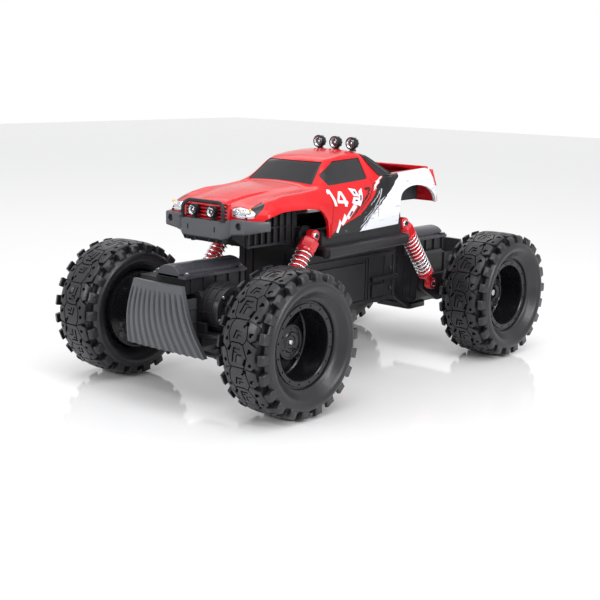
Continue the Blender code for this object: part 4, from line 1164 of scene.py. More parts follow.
def build_headlights():
    for side, word in SIDES:
        piece(f"{word}_headlight_lens", surface_pane([headlight_prism(side, 0.0003)], 0.0004, 0.0008),
              "chassis", "headlamp", (f"{word}_headlight",), angle=40)
        piece(f"{word}_headlight_tail", surface_pane([headlight_tail(side, 0.0003)], 0.0006, 0.001),
              "chassis", "window", angle=40)
        bm = bmesh.new()
        for x, r in ((0.0352, 0.0027), (0.043, 0.0025)):                # raised rings in the main lens
            place = axis_matrix((side * x, -0.1474 + (0.0006 if x > 0.04 else 0.0), 0.1637), (0, -1, 0))
            add_lathe(bm, [(r, -0.001), (r, 0.0006), (r - 0.0005, 0.0007), (r - 0.0008, 0.0002),
                           (0.0006, -0.0002), (0.0, 0.0003)], 24, place)
        add_side_box(bm, side, (0.03, 0.047), (-0.1483, -0.147), (0.1596, 0.1603))
        piece(f"{word}_headlight_bowls", bm, "chassis", "reflector")
        for kind, x, y, z, r, mat in (("marker", 0.0452, -0.1466, 0.1636, 0.0022, "reflector"),
                                      ("amber", 0.0474, -0.1456, 0.1658, 0.0011, "amber")):
            bm = bmesh.new()
            place = axis_matrix((side * x, y, z), (side * 0.75, -1, 0.1))
            add_lathe(bm, [(r, -0.002), (r, 0.0002), (0.7 * r, 0.0009), (0.3 * r, 0.0013), (0, 0.0014)], 24,
                      place)
            piece(f"{word}_headlight_{kind}", bm, "chassis", mat)
        bm = bmesh.new()
        add_prism(bm, round_outline([(0.1056, 0.1878), (0.1066, 0.1884), (0.1146, 0.1712), (0.1112, 0.1745)],
                                    0.0006, 3), min(side * 0.05, side * 0.0592),
                  max(side * 0.05, side * 0.0592),
                  SIDEWAYS)
        piece(f"{word}_tail_light", bm, "chassis", "tail", bevel=0.0005)


def bumper_bar():
    """Stepped bumper: centre plate, pods with a round recess, swept wings."""
    plan = [(0.0, -0.1575, -0.1515, 0.1385, 0.1545), (0.0236, -0.1575, -0.1515, 0.1385, 0.1545),
            (0.0262, -0.1558, -0.1505, 0.1392, 0.155),
            (0.0308, -0.1535, -0.15, 0.1415, 0.1562), (0.0345, -0.1548, -0.15, 0.1432, 0.1572),
            (0.0482, -0.154, -0.1495, 0.1448, 0.1572),
            (0.0522, -0.1505, -0.147, 0.1456, 0.1567), (0.0608, -0.1352, -0.1335, 0.1478, 0.156)]
    rows = []
    for x, front, back, low, high in [(-p[0], *p[1:]) for p in reversed(plan[1:])] + plan:
        rows.append([(x, front + 0.0008, low), (x, front, low + 0.0012), (x, front, high - 0.0012),
                     (x, front + 0.0008, high), (x, back, high), (x, back, low)])
    bm = bmesh.new()
    add_loft(bm, rows)
    tools = []
    for side in (1, -1):
        hole = bmesh.new()
        add_rod(hole, (side * 0.0422, -0.17, 0.1517), (side * 0.0422, -0.1512, 0.1517), 0.0031, 28)
        slot = bmesh.new()
        add_slab(slot, side * 0.0165, 0.0007, (-0.17, -0.1558), (0.1445, 0.149))
        tools += [hole, slot]
    mesh = boolean_mesh(bm, tools)
    from_mesh("bumper_bar", mesh, "chassis", "bumper", ("front_bumper",), bevel=0.0004,
              angle=30)


def bumper_valance():
    """Dark lower lip with ribs, the rings in the recesses and a stay behind."""
    bm = bmesh.new()
    add_loft(bm, [[(x, -0.1566, 0.139), (x, -0.1515, 0.14), (x, -0.148, 0.1362), (x, -0.1545, 0.135)]
                  for x in (-0.024, -0.012, 0.0, 0.012, 0.024)])
    for x in (-0.018, -0.009, 0.009, 0.018):
        add_slab(bm, x, 0.0012, (-0.1562, -0.148), (0.1352, 0.1392))
    for side in (1, -1):
        place = axis_matrix((side * 0.0422, -0.152, 0.1517), (0, -1, 0))
        add_lathe(bm, [(0.003, -0.0005), (0.003, 0.0), (0.0022, 0.0), (0.0016, -0.001), (0.0, -0.001)], 24,
                  place)
    add_box(bm, (-0.02, -0.152, 0.14), (0.02, -0.13, 0.144))
    piece("bumper_valance", bm, "chassis", "dark", bevel=0.0004)


def bull_bar():
    """Bent hoop on two feet, with a screw in each leg."""
    x, y = 0.025, -0.1552
    low, bend, top = 0.154, 0.1655, 0.17
    bm = bmesh.new()
    hoop = [(-x, y, low), (-x, y, bend), (-0.02, y + 0.002, top), (0.02, y + 0.002, top), (x, y, bend),
            (x, y, low)]
    add_tube(bm, rounded([Vector(p) for p in hoop], 0.0035, 5), 0.00165, 12)
    for side in (1, -1):
        add_slab(bm, side * x, 0.0026, (y - 0.0022, y + 0.0022), (0.154, 0.1556))
        add_screw(bm, (side * x, y - 0.0016, 0.16), (0, -1, 0), 0.0011, 0.0006)
    piece("bull_bar_hoop", bm, "chassis", "charcoal", ("bull_bar",), bevel=0.0002)


def grille():
    """Dark backing, five red slats and their end posts."""
    bm = bmesh.new()
    add_box(bm, (-0.0262, -0.1487, 0.152), (0.0262, -0.1478, 0.1686))
    piece("grille_back", bm, "chassis", "dark", ("grille",), bevel=0.0002)
    bm = bmesh.new()
    for i in range(5):
        z = 0.1536 + 0.003 * i
        add_loft(bm, [[(x, -0.1484, z - 0.0002), (x, -0.1508, z + 0.0002), (x, -0.1508, z + 0.0014),
                       (x, -0.1484, z + 0.002)] for x in (-0.0258, -0.009, 0.009, 0.0258)])
    for x in (-0.0262, 0.0262):
        add_slab(bm, x, 0.001, (-0.151, -0.1478), (0.1522, 0.1692))
    piece("grille_slats", bm, "chassis", "red", bevel=0.0002)


def build_bumper():
    bumper_bar()
    bumper_valance()
    bull_bar()
    grille()


def roll_bar():
    """Buttress plates behind the cab with a grey strip on each, and a crossbar."""
    def lean(y, z):
        return side_x(min(y, 0.024), z) + max(0.0, y - 0.024) * 0.32

    bm = bmesh.new()
    for side in (1, -1):
        side_patch(bm, [(0.0195, 0.2072), (0.0235, 0.2068), (0.044, 0.1868), (0.029, 0.185)], side, 0.0014,
                   (8, 14), 0.003, lean)
    add_tube(bm, rounded(
            [Vector(p) for p in ((-0.045, 0.04, 0.188), (-0.04, 0.0335, 0.196), (0.04, 0.0335, 0.196),
                                 (0.045, 0.04, 0.188))], 0.004, 4), 0.0018, 12)
    piece("roll_bar_plates", bm, "chassis", "charcoal", ("roll_bar",), bevel=0.0004)
    bm = bmesh.new()
    for side in (1, -1):
        side_patch(bm, [(0.0232, 0.203), (0.0242, 0.2026), (0.0395, 0.188), (0.0385, 0.1878)], side, 0.0022,
                   (2, 10), 0.0012, lean)
    piece("roll_bar_strips", bm, "chassis", "grey", bevel=0.0002)


def tailgate():
    """Slanted plate with a raised frame and a pull."""
    bm = bmesh.new()
    for x0, x1, a, b, out in ((-0.0545, 0.0545, 0.0, 1.0, 0.0), (-0.044, 0.044, 0.12, 0.2, 0.0008),
                              (-0.044, 0.044, 0.78, 0.86, 0.0008), (-0.044, -0.041, 0.12, 0.86, 0.0008),
                              (0.041, 0.044, 0.12, 0.86, 0.0008), (-0.011, 0.011, 0.32, 0.4, 0.0012)):
        (y0, z0), (y1, z1) = ((0.104 + 0.0155 * t, 0.1912 - 0.0342 * t) for t in (a, b))
        rows = [[(x, y0 - 0.0012, z0 - 0.0004), (x, y0 + out, z0), (x, y1 + out, z1),
                 (x, y1 - 0.0012, z1 - 0.0004)] for x in (x0, x1)]
        add_loft(bm, rows)
    piece("tailgate", bm, "chassis", "red", bevel=0.0002)


def bed_tray():
    """Open box with ribs on its floor."""
    bm = bmesh.new()
    half, front, rear, floor = 0.0457, 0.0403, 0.1002, 0.158
    add_box(bm, (-half, front, floor), (half, rear, floor + 0.0014))
    for x0, x1, y0, y1 in ((-half, -half + 0.0014, front, rear), (half - 0.0014, half, front, rear),
                           (-half, half, front, front + 0.0014), (-half, half, rear - 0.0014, rear)):
        add_box(bm, (x0, y0, floor), (x1, y1, 0.1835))
    for i in range(9):
        x = -0.036 + 0.009 * i
        add_slab(bm, x, 0.0018, (front + 0.003, rear - 0.003), (floor + 0.001, floor + 0.0024))
    piece("bed_tray", bm, "chassis", "dark", ("bed_liner",), bevel=0.0004)


def build_bed():
    roll_bar()
    tailgate()
    bed_tray()


# ---------------------------------------------------------------- shocks
SHOCK_X = 0.052
SHOCK_TOP = (0.068, 0.137)
SHOCK_LOW = (0.1205, 0.07)


def shock(word, side, end):
    """Coil-over shock: hexagonal cap, ribbed body, sprung chrome wire, lower cup, rod and eyes."""
    name = f"{'front' if end < 0 else 'rear'}_{word}_shock"
    top = Vector((side * SHOCK_X, end * SHOCK_TOP[0], SHOCK_TOP[1]))
    low = Vector((side * SHOCK_X, end * SHOCK_LOW[0], SHOCK_LOW[1]))
    down = (low - top).normalized()
    length = (low - top).length
    place = axis_matrix(top, down, (1, 0, 0))
    bm = bmesh.new()
    add_lathe(bm, [(0.0, 0.0165), (0.0028, 0.0165), (0.0028, 0.0502), (0.0052, 0.0502), (0.006, 0.049),
                   (0.0062, 0.02), (0.007, 0.018), (0.0086, 0.0172),
                   (0.0086, 0.0146), (0.0066, 0.0138), (0.0, 0.0138)], 32, place)
    add_lathe(bm, [(0.0, 0.0142), (0.0082, 0.0142), (0.0088, 0.0132), (0.0088, 0.0056), (0.0074, 0.0038),
                   (0.005, 0.002), (0.0, 0.002)], 6, place)
    for i in range(7):
        h = 0.0215 + 0.004 * i
        add_lathe(bm, [(0.0056, h), (0.0065, h + 0.0005), (0.0065, h + 0.0013), (0.0056, h + 0.0018)], 24,
                  place, True)
    add_rod(bm, top - Vector((0.0036, 0, 0)), top + Vector((0.0036, 0, 0)), 0.0056, 24)
    piece(f"{name}_damper", bm, f"{name}_upper", "shock_red", (f"{name}_body",), bevel=0.0004,
          angle=28)
    bm = bmesh.new()
    add_screw(bm, top + Vector((side * 0.0036, 0, 0)), (side, 0, 0), 0.0034, 0.0012)
    front = place @ Vector((0.0, 0.0, 0.0095))
    out = (place.to_3x3() @ Vector((0, 1, 0))) * (1 if (place.to_3x3() @ Vector((0, 1, 0))).z > 0 else -1)
    add_screw(bm, front + out * 0.0074, out, 0.0022, 0.0009)
    piece(f"{name}_cap_screws", bm, f"{name}_upper", "steel")
    bm = bmesh.new()
    add_lathe(bm, [(0.0, 0.033), (0.0022, 0.033), (0.0022, 0.0668), (0.0, 0.0668)], 16, place)
    piece(f"{name}_piston", bm, f"{name}_lower", "steel", (f"{name}_rod",))
    bm = bmesh.new()
    add_lathe(bm, [(0.0, 0.0664), (0.005, 0.0664), (0.006, 0.0678), (0.0083, 0.0684), (0.0083, 0.0708),
                   (0.006, 0.0722), (0.0046, 0.075), (0.004, length), (0.0, length)], 28, place)
    add_rod(bm, low - Vector((0.0036, 0, 0)), low + Vector((0.0036, 0, 0)), 0.0058, 24)
    piece(f"{name}_cup", bm, f"{name}_lower", "shock_red", bevel=0.0004)
    bm = bmesh.new()
    add_screw(bm, low + Vector((side * 0.0036, 0, 0)), (side, 0, 0), 0.003, 0.0012)
    piece(f"{name}_eye_screw", bm, f"{name}_lower", "steel")
    start, stop, turns, steps = 0.018, 0.0674, 11, 20
    wire = []
    for i in range(turns * steps + 1):
        t = i / (turns * steps)
        h = start + (stop - start) * t
        a = 2 * pi * i / steps
        wire.append(place @ Vector((0.0075 * cos(a), 0.0075 * sin(a), h)))
    bm = bmesh.new()
    add_tube(bm, wire, 0.0008, 8)
    bmesh.ops.recalc_face_normals(bm, faces=bm.faces)
    mesh = bpy.data.meshes.new(f"{name}_coil")
    bm.to_mesh(mesh)
    bm.free()
    mesh.materials.append(MATS["chrome"])
    mesh.shade_smooth()
    obj = bpy.data.objects.new(f"{name}_coil", mesh)
    bpy.context.scene.collection.objects.link(obj)
    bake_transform(obj)
    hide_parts(f"{name}_spring")


def build_shocks():
    for word, side in (("left", 1), ("right", -1)):
        for end in (-1, 1):
            shock(word, side, end)


# ---------------------------------------------------------------- chassis
def tub_ribs():
    """Ribs, rails, panels, skids and screws on the tub."""
    bm = bmesh.new()
    for side in (1, -1):
        for y in (-0.066, -0.052, 0.03, 0.0345, 0.06, 0.074):
            add_slab(bm, side * 0.0374, 0.0012, (y - 0.0008, y + 0.0008), (0.06, 0.106))
        add_slab(bm, side * 0.0376, 0.0014, (-0.069, 0.077), (0.104, 0.1075))
        add_slab(bm, side * 0.0376, 0.001, (-0.069, 0.077), (0.059, 0.0622))
        add_slab(bm, side * 0.0384, 0.0016, (-0.044, 0.026), (0.064, 0.1))      # smooth battery bay panel
        add_slab(bm, side * 0.039, 0.003, (0.037, 0.077), (0.08, 0.084))
        add_slab(bm, side * 0.0386, 0.0014, (0.0385, 0.057), (0.064, 0.076))
        for y in (-0.062, 0.07):
            add_screw(bm, (side * 0.0386, y, 0.09), (side, 0, 0), 0.0022, 0.0008)
            add_screw(bm, (side * 0.0386, y, 0.07), (side, 0, 0), 0.0022, 0.0008)
    for edge in (-0.07, 0.078):
        for i in range(7):
            x = -0.03 + 0.01 * i
            if abs(x) > 0.011:
                add_slab(bm, x, 0.0008, (edge - 0.0012, edge + 0.0012), (0.06, 0.125))
        add_box(bm, (-0.0374, edge - 0.0014, 0.122), (0.0374, edge + 0.0014, 0.127))
    for x in (-0.03, 0.03):                        # skids under the tub
        add_loft(bm, [[(x - 0.0016, y, 0.0581), (x + 0.0016, y, 0.0581), (x + 0.001, y, low),
                       (x - 0.001, y, low)] for y,
                      low in ((-0.066, 0.0578), (-0.06, 0.0566), (0.048, 0.0566), (0.052, 0.0578))])
    for y in (-0.055, 0.07):
        for x in (-0.022, 0.0, 0.022):
            add_screw(bm, (x, y, 0.058), (0, 0, -1), 0.002, 0.0007)
    piece("tub_ribs", bm, "chassis", "charcoal", bevel=0.0003)


def sill_steps():
    """Flat panel under the doors above a ledge with a rolled lip."""
    for side, word in SIDES:
        profile = [(0.038, 0.14), (0.0535, 0.14), (0.055, 0.139), (0.0556, 0.1272), (0.064, 0.1262),
                   (0.0656, 0.1248), (0.066, 0.1225), (0.0656, 0.118),
                   (0.064, 0.1162), (0.0622, 0.1162), (0.0616, 0.118), (0.0612, 0.1225), (0.056, 0.1235),
                   (0.038, 0.1235)]
        rows = []
        for y, rise, pull in ((-0.06, 0.0, 0.004), (-0.058, 0.0, 0.0005), (-0.05, 0.0, 0.0),
                              (0.0, 0.0008, 0.0), (0.054, 0.0016, 0.0), (0.062, 0.0016, 0.0005),
                              (0.064, 0.0016, 0.004)):
            rows.append([(side * max(0.038, x - pull), y, z + rise) for x, z in profile])
        bm = bmesh.new()
        add_loft(bm, rows)
        for i in range(9):
            y = -0.048 + 0.0125 * i
            add_side_box(bm, side, (0.038, 0.056), (y - 0.0008, y + 0.0008), (0.115, 0.122))
        for y in (-0.05, 0.002, 0.056):
            add_screw(bm, (side * 0.0552, y, 0.1335), (side, 0, 0), 0.0018, 0.0006)
        add_loft(bm, [[(side * 0.054, y, z0), (side * 0.0562, y, z0 + 0.0004),
                       (side * 0.0562, y, z0 + 0.0012), (side * 0.054, y, z0 + 0.0016)] for y,
                      z0 in ((-0.054, 0.1352), (0.058, 0.1362))])
        piece(f"{word}_sill_step", bm, "chassis", "charcoal", (f"{word}_side_step",),
              bevel=0.0004, angle=40)


def nose_block():
    """Block below the bonnet, with deep ribs."""
    bm = bmesh.new()
    rows = []
    for y, half, low, high in ((-0.143, 0.024, 0.138, 0.157), (-0.135, 0.031, 0.131, 0.159),
                               (-0.1, 0.0335, 0.13, 0.16), (-0.085, 0.035, 0.129, 0.16),
                               (-0.072, 0.0365, 0.124, 0.16)):
        rows.append([(half, y, low), (half, y, high), (-half, y, high), (-half, y, low)])
    add_loft(bm, rows)
    for side in (1, -1):
        for i in range(8):
            y = -0.133 + 0.0078 * i
            half = 0.0335 + 0.003 * (y + 0.133) / 0.06
            add_slab(bm, side * half, 0.0012, (y - 0.0009, y + 0.0009), (0.1305, 0.159))
        add_slab(bm, side * 0.0345, 0.0014, (-0.135, -0.074), (0.13, 0.1322))
        add_slab(bm, side * 0.0345, 0.0014, (-0.135, -0.074), (0.145, 0.1464))
    piece("nose_block", bm, "chassis", "charcoal", bevel=0.0003)


def shock_towers():
    """Towers with pins, cheeks and bright bolts."""
    bm, bolts = bmesh.new(), bmesh.new()
    for end in (-1, 1):
        y = end * SHOCK_TOP[0]
        for side in (1, -1):
            outline = [(y - 0.0085, 0.118), (y + 0.0085, 0.118), (y + 0.007, 0.14), (y + 0.0035, 0.145),
                       (y - 0.0035, 0.145), (y - 0.007, 0.14)]
            add_prism(bm, outline, min(side * 0.0405, side * 0.0428), max(side * 0.0405, side * 0.0428),
                      SIDEWAYS)
            add_rod(bm, (side * 0.043, y, 0.137), (side * 0.048, y, 0.137), 0.0036, 20, 0.003)
            for dy in (-0.005, 0.005):
                add_side_box(bm, side, (0.042, 0.0433), (y + dy - 0.0006, y + dy + 0.0006), (0.119, 0.136))
            add_screw(bolts, (side * 0.0427, y - end * 0.0005, 0.1225), (side, 0, 0), 0.0026, 0.001)
            add_lathe(bolts, [(0, 0.0), (0.004, 0.0), (0.004, 0.001), (0.0028, 0.0016), (0, 0.0016)], 20,
                      axis_matrix((side * 0.0425, end * 0.059, 0.133), (side, 0, 0)))
        add_box(bm, (-0.04, y - 0.0072, 0.133), (0.04, y + 0.0072, 0.135))
    for side in (1, -1):
        add_side_box(bm, side, (0.037, 0.0426), (-0.064, -0.055), (0.129, 0.1372))
        add_side_box(bm, side, (0.037, 0.0426), (0.055, 0.064), (0.129, 0.1372))
        # bracket that carries the body above the rear shock
        add_loft(bm, [[(side * x, 0.079, 0.126), (side * x, 0.09, 0.133), (side * x, 0.088, 0.144),
                       (side * x, 0.077, 0.142)] for x in (0.029, 0.0345)])
    piece("shock_towers", bm, "chassis", "charcoal", bevel=0.0004)
    piece("tower_bolts", bolts, "chassis", "steel", bevel=0.0001)


def build_chassis():
    tub_ribs()
    sill_steps()
    nose_block()
    shock_towers()


# ---------------------------------------------------------------- axle modules
KINGPIN_X = 0.069
STEER_ARM = 0.031         # from the kingpin forward to the tie rod
CASE_HALF_X, CASE_HALF_Y, CASE_LOW, CASE_TOP = 0.026, 0.024, -0.02, 0.034
def axle_place(end):
    return Matrix.Translation((0.0, end * AXLE_Y, AXLE_Z)) @ Matrix.Rotation(0.0 if end < 0 else pi, 4, "Z")


def skid_plate(word, body, place):
    """Curved plate with upright ribs and a scalloped lower edge, on two cheeks."""
    ribs, per, rows_n = 11, 8, 18
    columns = ribs * per
    bm = bmesh.new()
    layers = []
    for layer in (0, 1):
        grid = []
        for i in range(columns + 1):
            u = -1 + 2 * i / columns
            phase = (i % per) / per
            rib = step(abs(phase - 0.5), 0.05, 0.22)
            column = []
            for j in range(rows_n + 1):
                t = j / rows_n
                bottom = 1.0 + 0.03 * (1 - rib) if j == rows_n else t
                half = 0.03 + 0.0186 * t
                y = -0.051 + 0.0085 * t - 0.006 * sin(pi * t)
                fade = step(t, 0.1, 0.16)
                y += 0.0026 * (1 - rib) * fade - 0.002 if layer == 0 else 0.0016
                column.append(bm.verts.new(
                        place @ Vector((half * u, y - 0.003 * u * u * (1 - 2 * (t - 0.5) ** 2) * -1.0,
                                        0.0425 - 0.06 * bottom))))
            grid.append(column)
        layers.append(grid)
    close_grids(bm, layers, columns, rows_n)
    cheek = [(-0.0242, -0.012), (-0.0242, 0.028), (-0.0502, 0.028), (-0.0484, 0.005), (-0.0418, -0.012)]
    for side in (1, -1):
        add_prism(bm, cheek, side * 0.0195 - 0.0015, side * 0.0195 + 0.0015, place @ SIDEWAYS)
        for z in (-0.004, 0.008, 0.02):
            add_slab(bm, side * 0.0195, 0.0022, (-0.0415, -0.025), (z - 0.0007, z + 0.0007), place)
    piece(f"{word}_skid_plate_ribbed", bm, body, "skid", (f"{word}_skid_plate",), angle=34)


def motor_cover(word, body, place):
    """Long half-round cover with a domed end, a flange and screws."""
    z, r = 0.0485, 0.0142
    bm = bmesh.new()
    rows = []
    for y, k in ((-0.039, 0.9), (-0.0386, 0.97), (-0.0378, 1.0), (0.0, 1.0), (0.0378, 1.0), (0.0386, 0.97),
                 (0.039, 0.9)):
        rows.append([place @ Vector((0.92 * r * cos(a) * (0.9 + 0.1 * k), y, z + 0.55 * r * k * sin(a)))
                     for a in [pi * i / 24 for i in range(25)]] +
                    [place @ Vector((-0.9 * r, y, z - 0.0028)), place @ Vector((0.9 * r, y, z - 0.0028))])
    add_loft(bm, rows)
    add_prism(bm, round_outline([(-0.0205, -0.039), (0.0205, -0.039), (0.0205, 0.039), (-0.0205, 0.039)],
                                0.003), z - 0.0032, z - 0.0004, place)
    for side in (1, -1):
        for y in (-0.033, 0.033):
            add_lathe(bm, [(0, z - 0.001), (0.0034, z - 0.001), (0.0034, z + 0.0012), (0.0026, z + 0.0016),
                           (0, z + 0.0016)], 20, place @ Matrix.Translation((side * 0.0172, y, 0)))
    piece(f"{word}_motor_cover_shell", bm, body, "motor_cover", (f"{word}_motor_cover",),
          bevel=0.0003, angle=30)
    bm = bmesh.new()
    for side in (1, -1):
        for y in (-0.033, 0.033):
            add_screw(bm, place @ Vector((side * 0.0172, y, z + 0.0015)), (0, 0, 1), 0.0018, 0.0006)
    piece(f"{word}_motor_cover_screws", bm, body, "steel")


def case_body(bm, place):
    """Eight-sided block with split-line flanges and ribs."""
    hx, hy, low, top = CASE_HALF_X, CASE_HALF_Y, CASE_LOW, CASE_TOP
    add_prism(bm, [(-hx, low + 0.006), (-hx + 0.006, low), (hx - 0.006, low), (hx, low + 0.006),
                   (hx, top - 0.003), (hx - 0.003, top), (-hx + 0.003, top), (-hx, top - 0.003)],
              -hy, hy, place @ Matrix.Rotation(pi / 2, 4, "X"))
    for y in (-0.0245, 0.0245):                        # split-line flanges
        add_prism(bm, round_outline(
                [(-hx - 0.0015, low + 0.004), (hx + 0.0015, low + 0.004), (hx + 0.0015, top - 0.002),
                 (-hx - 0.0015, top - 0.002)], 0.004), y - 0.001, y + 0.001,
                  place @ Matrix.Rotation(pi / 2, 4, "X"))
    for x in (-0.018, -0.009, 0.0, 0.009, 0.018):
        add_slab(bm, x, 0.0008, (-0.0262, -0.024), (low + 0.006, 0.028), place)
        add_slab(bm, x, 0.0008, (0.024, 0.0262), (low + 0.006, 0.028), place)
        add_slab(bm, x, 0.0008, (-0.022, 0.022), (low - 0.0012, low + 0.001), place)


def gear_drum(bm, drum):
    """Round end of the gear housing, turned about the drum matrix's Z, with ribs."""
    add_lathe(bm, [(0.0, 0.024), (0.0225, 0.024), (0.0225, 0.044), (0.0215, 0.046), (0.018, 0.0468),
                   (0.0172, 0.0456), (0.013, 0.0456), (0.0122, 0.0474), (0.007, 0.0474),
                   (0.0062, 0.0462), (0.0, 0.0462)], 48, drum)
    add_lathe(bm, [(0.0215, 0.03), (0.0236, 0.03), (0.0236, 0.0318), (0.0215, 0.0318)], 48, drum, True)
    add_lathe(bm, [(0.0215, 0.0385), (0.0236, 0.0385), (0.0236, 0.0403), (0.0215, 0.0403)], 48, drum, True)
    for i in range(12):
        turn = drum @ Matrix.Rotation(2 * pi * i / 12, 4, "Z")
        add_box(bm, (0.0126, -0.0006, 0.045), (0.0176, 0.0006, 0.0466), turn)
        add_box(bm, (0.0205, -0.0007, 0.025), (0.0232, 0.0007, 0.044), turn)


def axle_tube(bm, place, side, steered):
    """Ribbed tube out to the wheel, with the plate and pin for the shock's lower eye."""
    reach = 0.058 if steered else 0.079
    tube = place @ axis_matrix((0, 0, 0), (side, 0, 0))
    add_lathe(bm, [(0.0, 0.02), (0.013, 0.02), (0.013, 0.027), (0.0105, 0.03), (0.0105, reach - 0.004),
                   (0.0114, reach - 0.0035), (0.0114, reach), (0.004, reach), (0.004, reach - 0.002),
                   (0.0, reach - 0.002)], 32, tube)
    for i in range(8):
        add_box(bm, (0.01, -0.0007, 0.029), (0.0118, 0.0007, reach - 0.006),
                tube @ Matrix.Rotation(2 * pi * i / 8 + 0.2, 4, "Z"))
    eye_y, eye_z = AXLE_Y - SHOCK_LOW[0], SHOCK_LOW[1] - AXLE_Z
    lug = round_outline(
            [(-0.015, -0.012), (0.015, -0.014), (eye_y + 0.006, eye_z - 0.006),
             (eye_y + 0.006, eye_z + 0.006), (0.02, 0.015), (-0.013, 0.015)], 0.003)
    x0, x1 = sorted((side * 0.0415, side * 0.0468))
    add_prism(bm, lug, x0, x1, place @ SIDEWAYS)
    add_rod(bm, (side * 0.044, eye_y, eye_z), (side * 0.0482, eye_y, eye_z), 0.004, 24, None, place)
    add_rod(bm, (side * 0.044, eye_y, eye_z), (side * 0.0575, eye_y, eye_z), 0.0019, 16, None, place)


def steering_yoke(bm, place, side):
    """Upright plate at the tube's end and the two ears that hold the kingpin."""
    yoke = round_outline([(-0.01, -0.015), (0.01, -0.015), (0.01, 0.015), (-0.01, 0.015)], 0.004)
    x0, x1 = sorted((side * 0.0548, side * 0.059))
    add_prism(bm, yoke, x0, x1, place @ SIDEWAYS)
    for up in (1, -1):
        ear = [(side * 0.056, -0.0085), (side * 0.056, 0.0085), (side * 0.07, 0.0062),
               (side * 0.0745, 0.003), (side * 0.0745, -0.003), (side * 0.07, -0.0062)]
        z0, z1 = sorted((up * 0.0106, up * 0.015))
        add_prism(bm, ear, z0, z1, place)
        add_lathe(bm, [(0, z0), (0.0052, z0), (0.0052, z1 + 0.0008), (0.004, z1 + 0.0012), (0, z1 + 0.0012)]
                  if up > 0 else
                  [(0, z1), (0.0052, z1), (0.0052, z0 - 0.0008), (0.004, z0 - 0.0012), (0, z0 - 0.0012)], 24,
                  place @ Matrix.Translation((side * KINGPIN_X, 0, 0)))


def gearcase(word, body, place, steered):
    """Gear housing with a round drum, axle tubes, brackets and screws."""
    bm = bmesh.new()
    case_body(bm, place)
    drum = place @ axis_matrix((0.0, -0.004, 0.018), (1, 0, 0))
    gear_drum(bm, drum)
    for side in (1, -1):
        axle_tube(bm, place, side, steered)
        if steered:
            steering_yoke(bm, place, side)
    for side in (1, -1):
        add_prism(bm, round_outline(
                [(side * 0.025, -0.038), (side * 0.05, -0.03), (side * 0.053, -0.012),
                 (side * 0.025, -0.012)], 0.002), -0.002, 0.0006, place)
        add_side_box(bm, side, (0.03, 0.04), (-0.033, -0.0305), (0.0, 0.01), place)
    add_box(bm, (-0.0185, -CASE_HALF_Y - 0.012, CASE_TOP - 0.002), (0.0185, CASE_HALF_Y + 0.012, 0.0452),
            place)
    for y in (-0.03, -0.015, 0.0, 0.015, 0.03):
        for side in (1, -1):
            add_slab(bm, side * 0.019, 0.0012, (y - 0.0009, y + 0.0009), (CASE_TOP - 0.001, 0.045), place)
    piece(f"{word}_axle_housing", bm, body, "charcoal",
          (f"{word}_gearcase", f"{word}_motor"), bevel=0.0003, angle=30)
    bm = bmesh.new()
    for i in range(6):
        a = 2 * pi * i / 6 + 0.3
        add_screw(bm, drum @ Vector((0.02 * cos(a), 0.02 * sin(a), 0.0464)),
                  (drum.to_3x3() @ Vector((0, 0, 1))), 0.0013, 0.0006)
    add_screw(bm, drum @ Vector((0, 0, 0.0462)), (drum.to_3x3() @ Vector((0, 0, 1))), 0.0028, 0.001)
    for side in (1, -1):
        if steered:
            for up in (1, -1):
                add_screw(bm, place @ Vector((side * KINGPIN_X, 0, up * 0.016)), (0, 0, up), 0.003, 0.0012)
    piece(f"{word}_housing_screws", bm, body, "steel")


def trailing_arm(word, body, place):
    """A-frame with two cross bars, its foot under the case, and the roll pin."""
    pin_z, apex_y, foot_y, foot_z = 0.0055, AXLE_Y - 0.08 - 0.012, 0.028, -0.023
    bm = bmesh.new()
    for side in (1, -1):
        rows = []
        for t in (0.0, 0.15, 0.5, 0.85, 1.0):
            x = 0.0195 * (1 - t) + 0.0045 * t
            y, z = foot_y + (apex_y - foot_y) * t, foot_z + (pin_z - foot_z) * t
            w = 0.003
            rows.append([place @ Vector((side * x + dx, y, z + dz)) for dx,
                         dz in ((-w, -0.0022), (w, -0.0022), (w, 0.0022), (0.4 * w, 0.0034),
                                (-0.4 * w, 0.0034), (-w, 0.0022))])
        add_loft(bm, rows)
    for t in (0.28, 0.62):
        y, z = foot_y + (apex_y - foot_y) * t, foot_z + (pin_z - foot_z) * t
        half = 0.0195 * (1 - t) + 0.0045 * t
        add_box(bm, (-half, y - 0.0014, z - 0.0014), (half, y + 0.0014, z + 0.0014), place)
    add_prism(bm, round_outline([(-0.022, 0.0), (0.022, 0.0), (0.022, 0.03), (-0.022, 0.03)], 0.004),
              foot_z - 0.0026, -0.0203, place)
    pin = place @ axis_matrix((0, apex_y, pin_z), (0, 1, 0))
    add_lathe(bm, [(0, -0.006), (0.0066, -0.006), (0.0075, -0.0048), (0.0075, 0.001), (0.0066, 0.002),
                   (0.004, 0.002), (0.004, 0.0155), (0.0034, 0.016), (0, 0.016)], 28, pin)
    piece(f"{word}_trailing_frame", bm, body, "charcoal", (f"{word}_trailing_arm",),
          bevel=0.0003)
    bm = bmesh.new()
    for x, y in ((-0.014, 0.006), (0.014, 0.006), (-0.014, 0.024), (0.014, 0.024)):
        add_screw(bm, place @ Vector((x, y, foot_z - 0.0026)), (0, 0, -1), 0.0022, 0.0008)
    piece(f"{word}_foot_screws", bm, body, "steel")


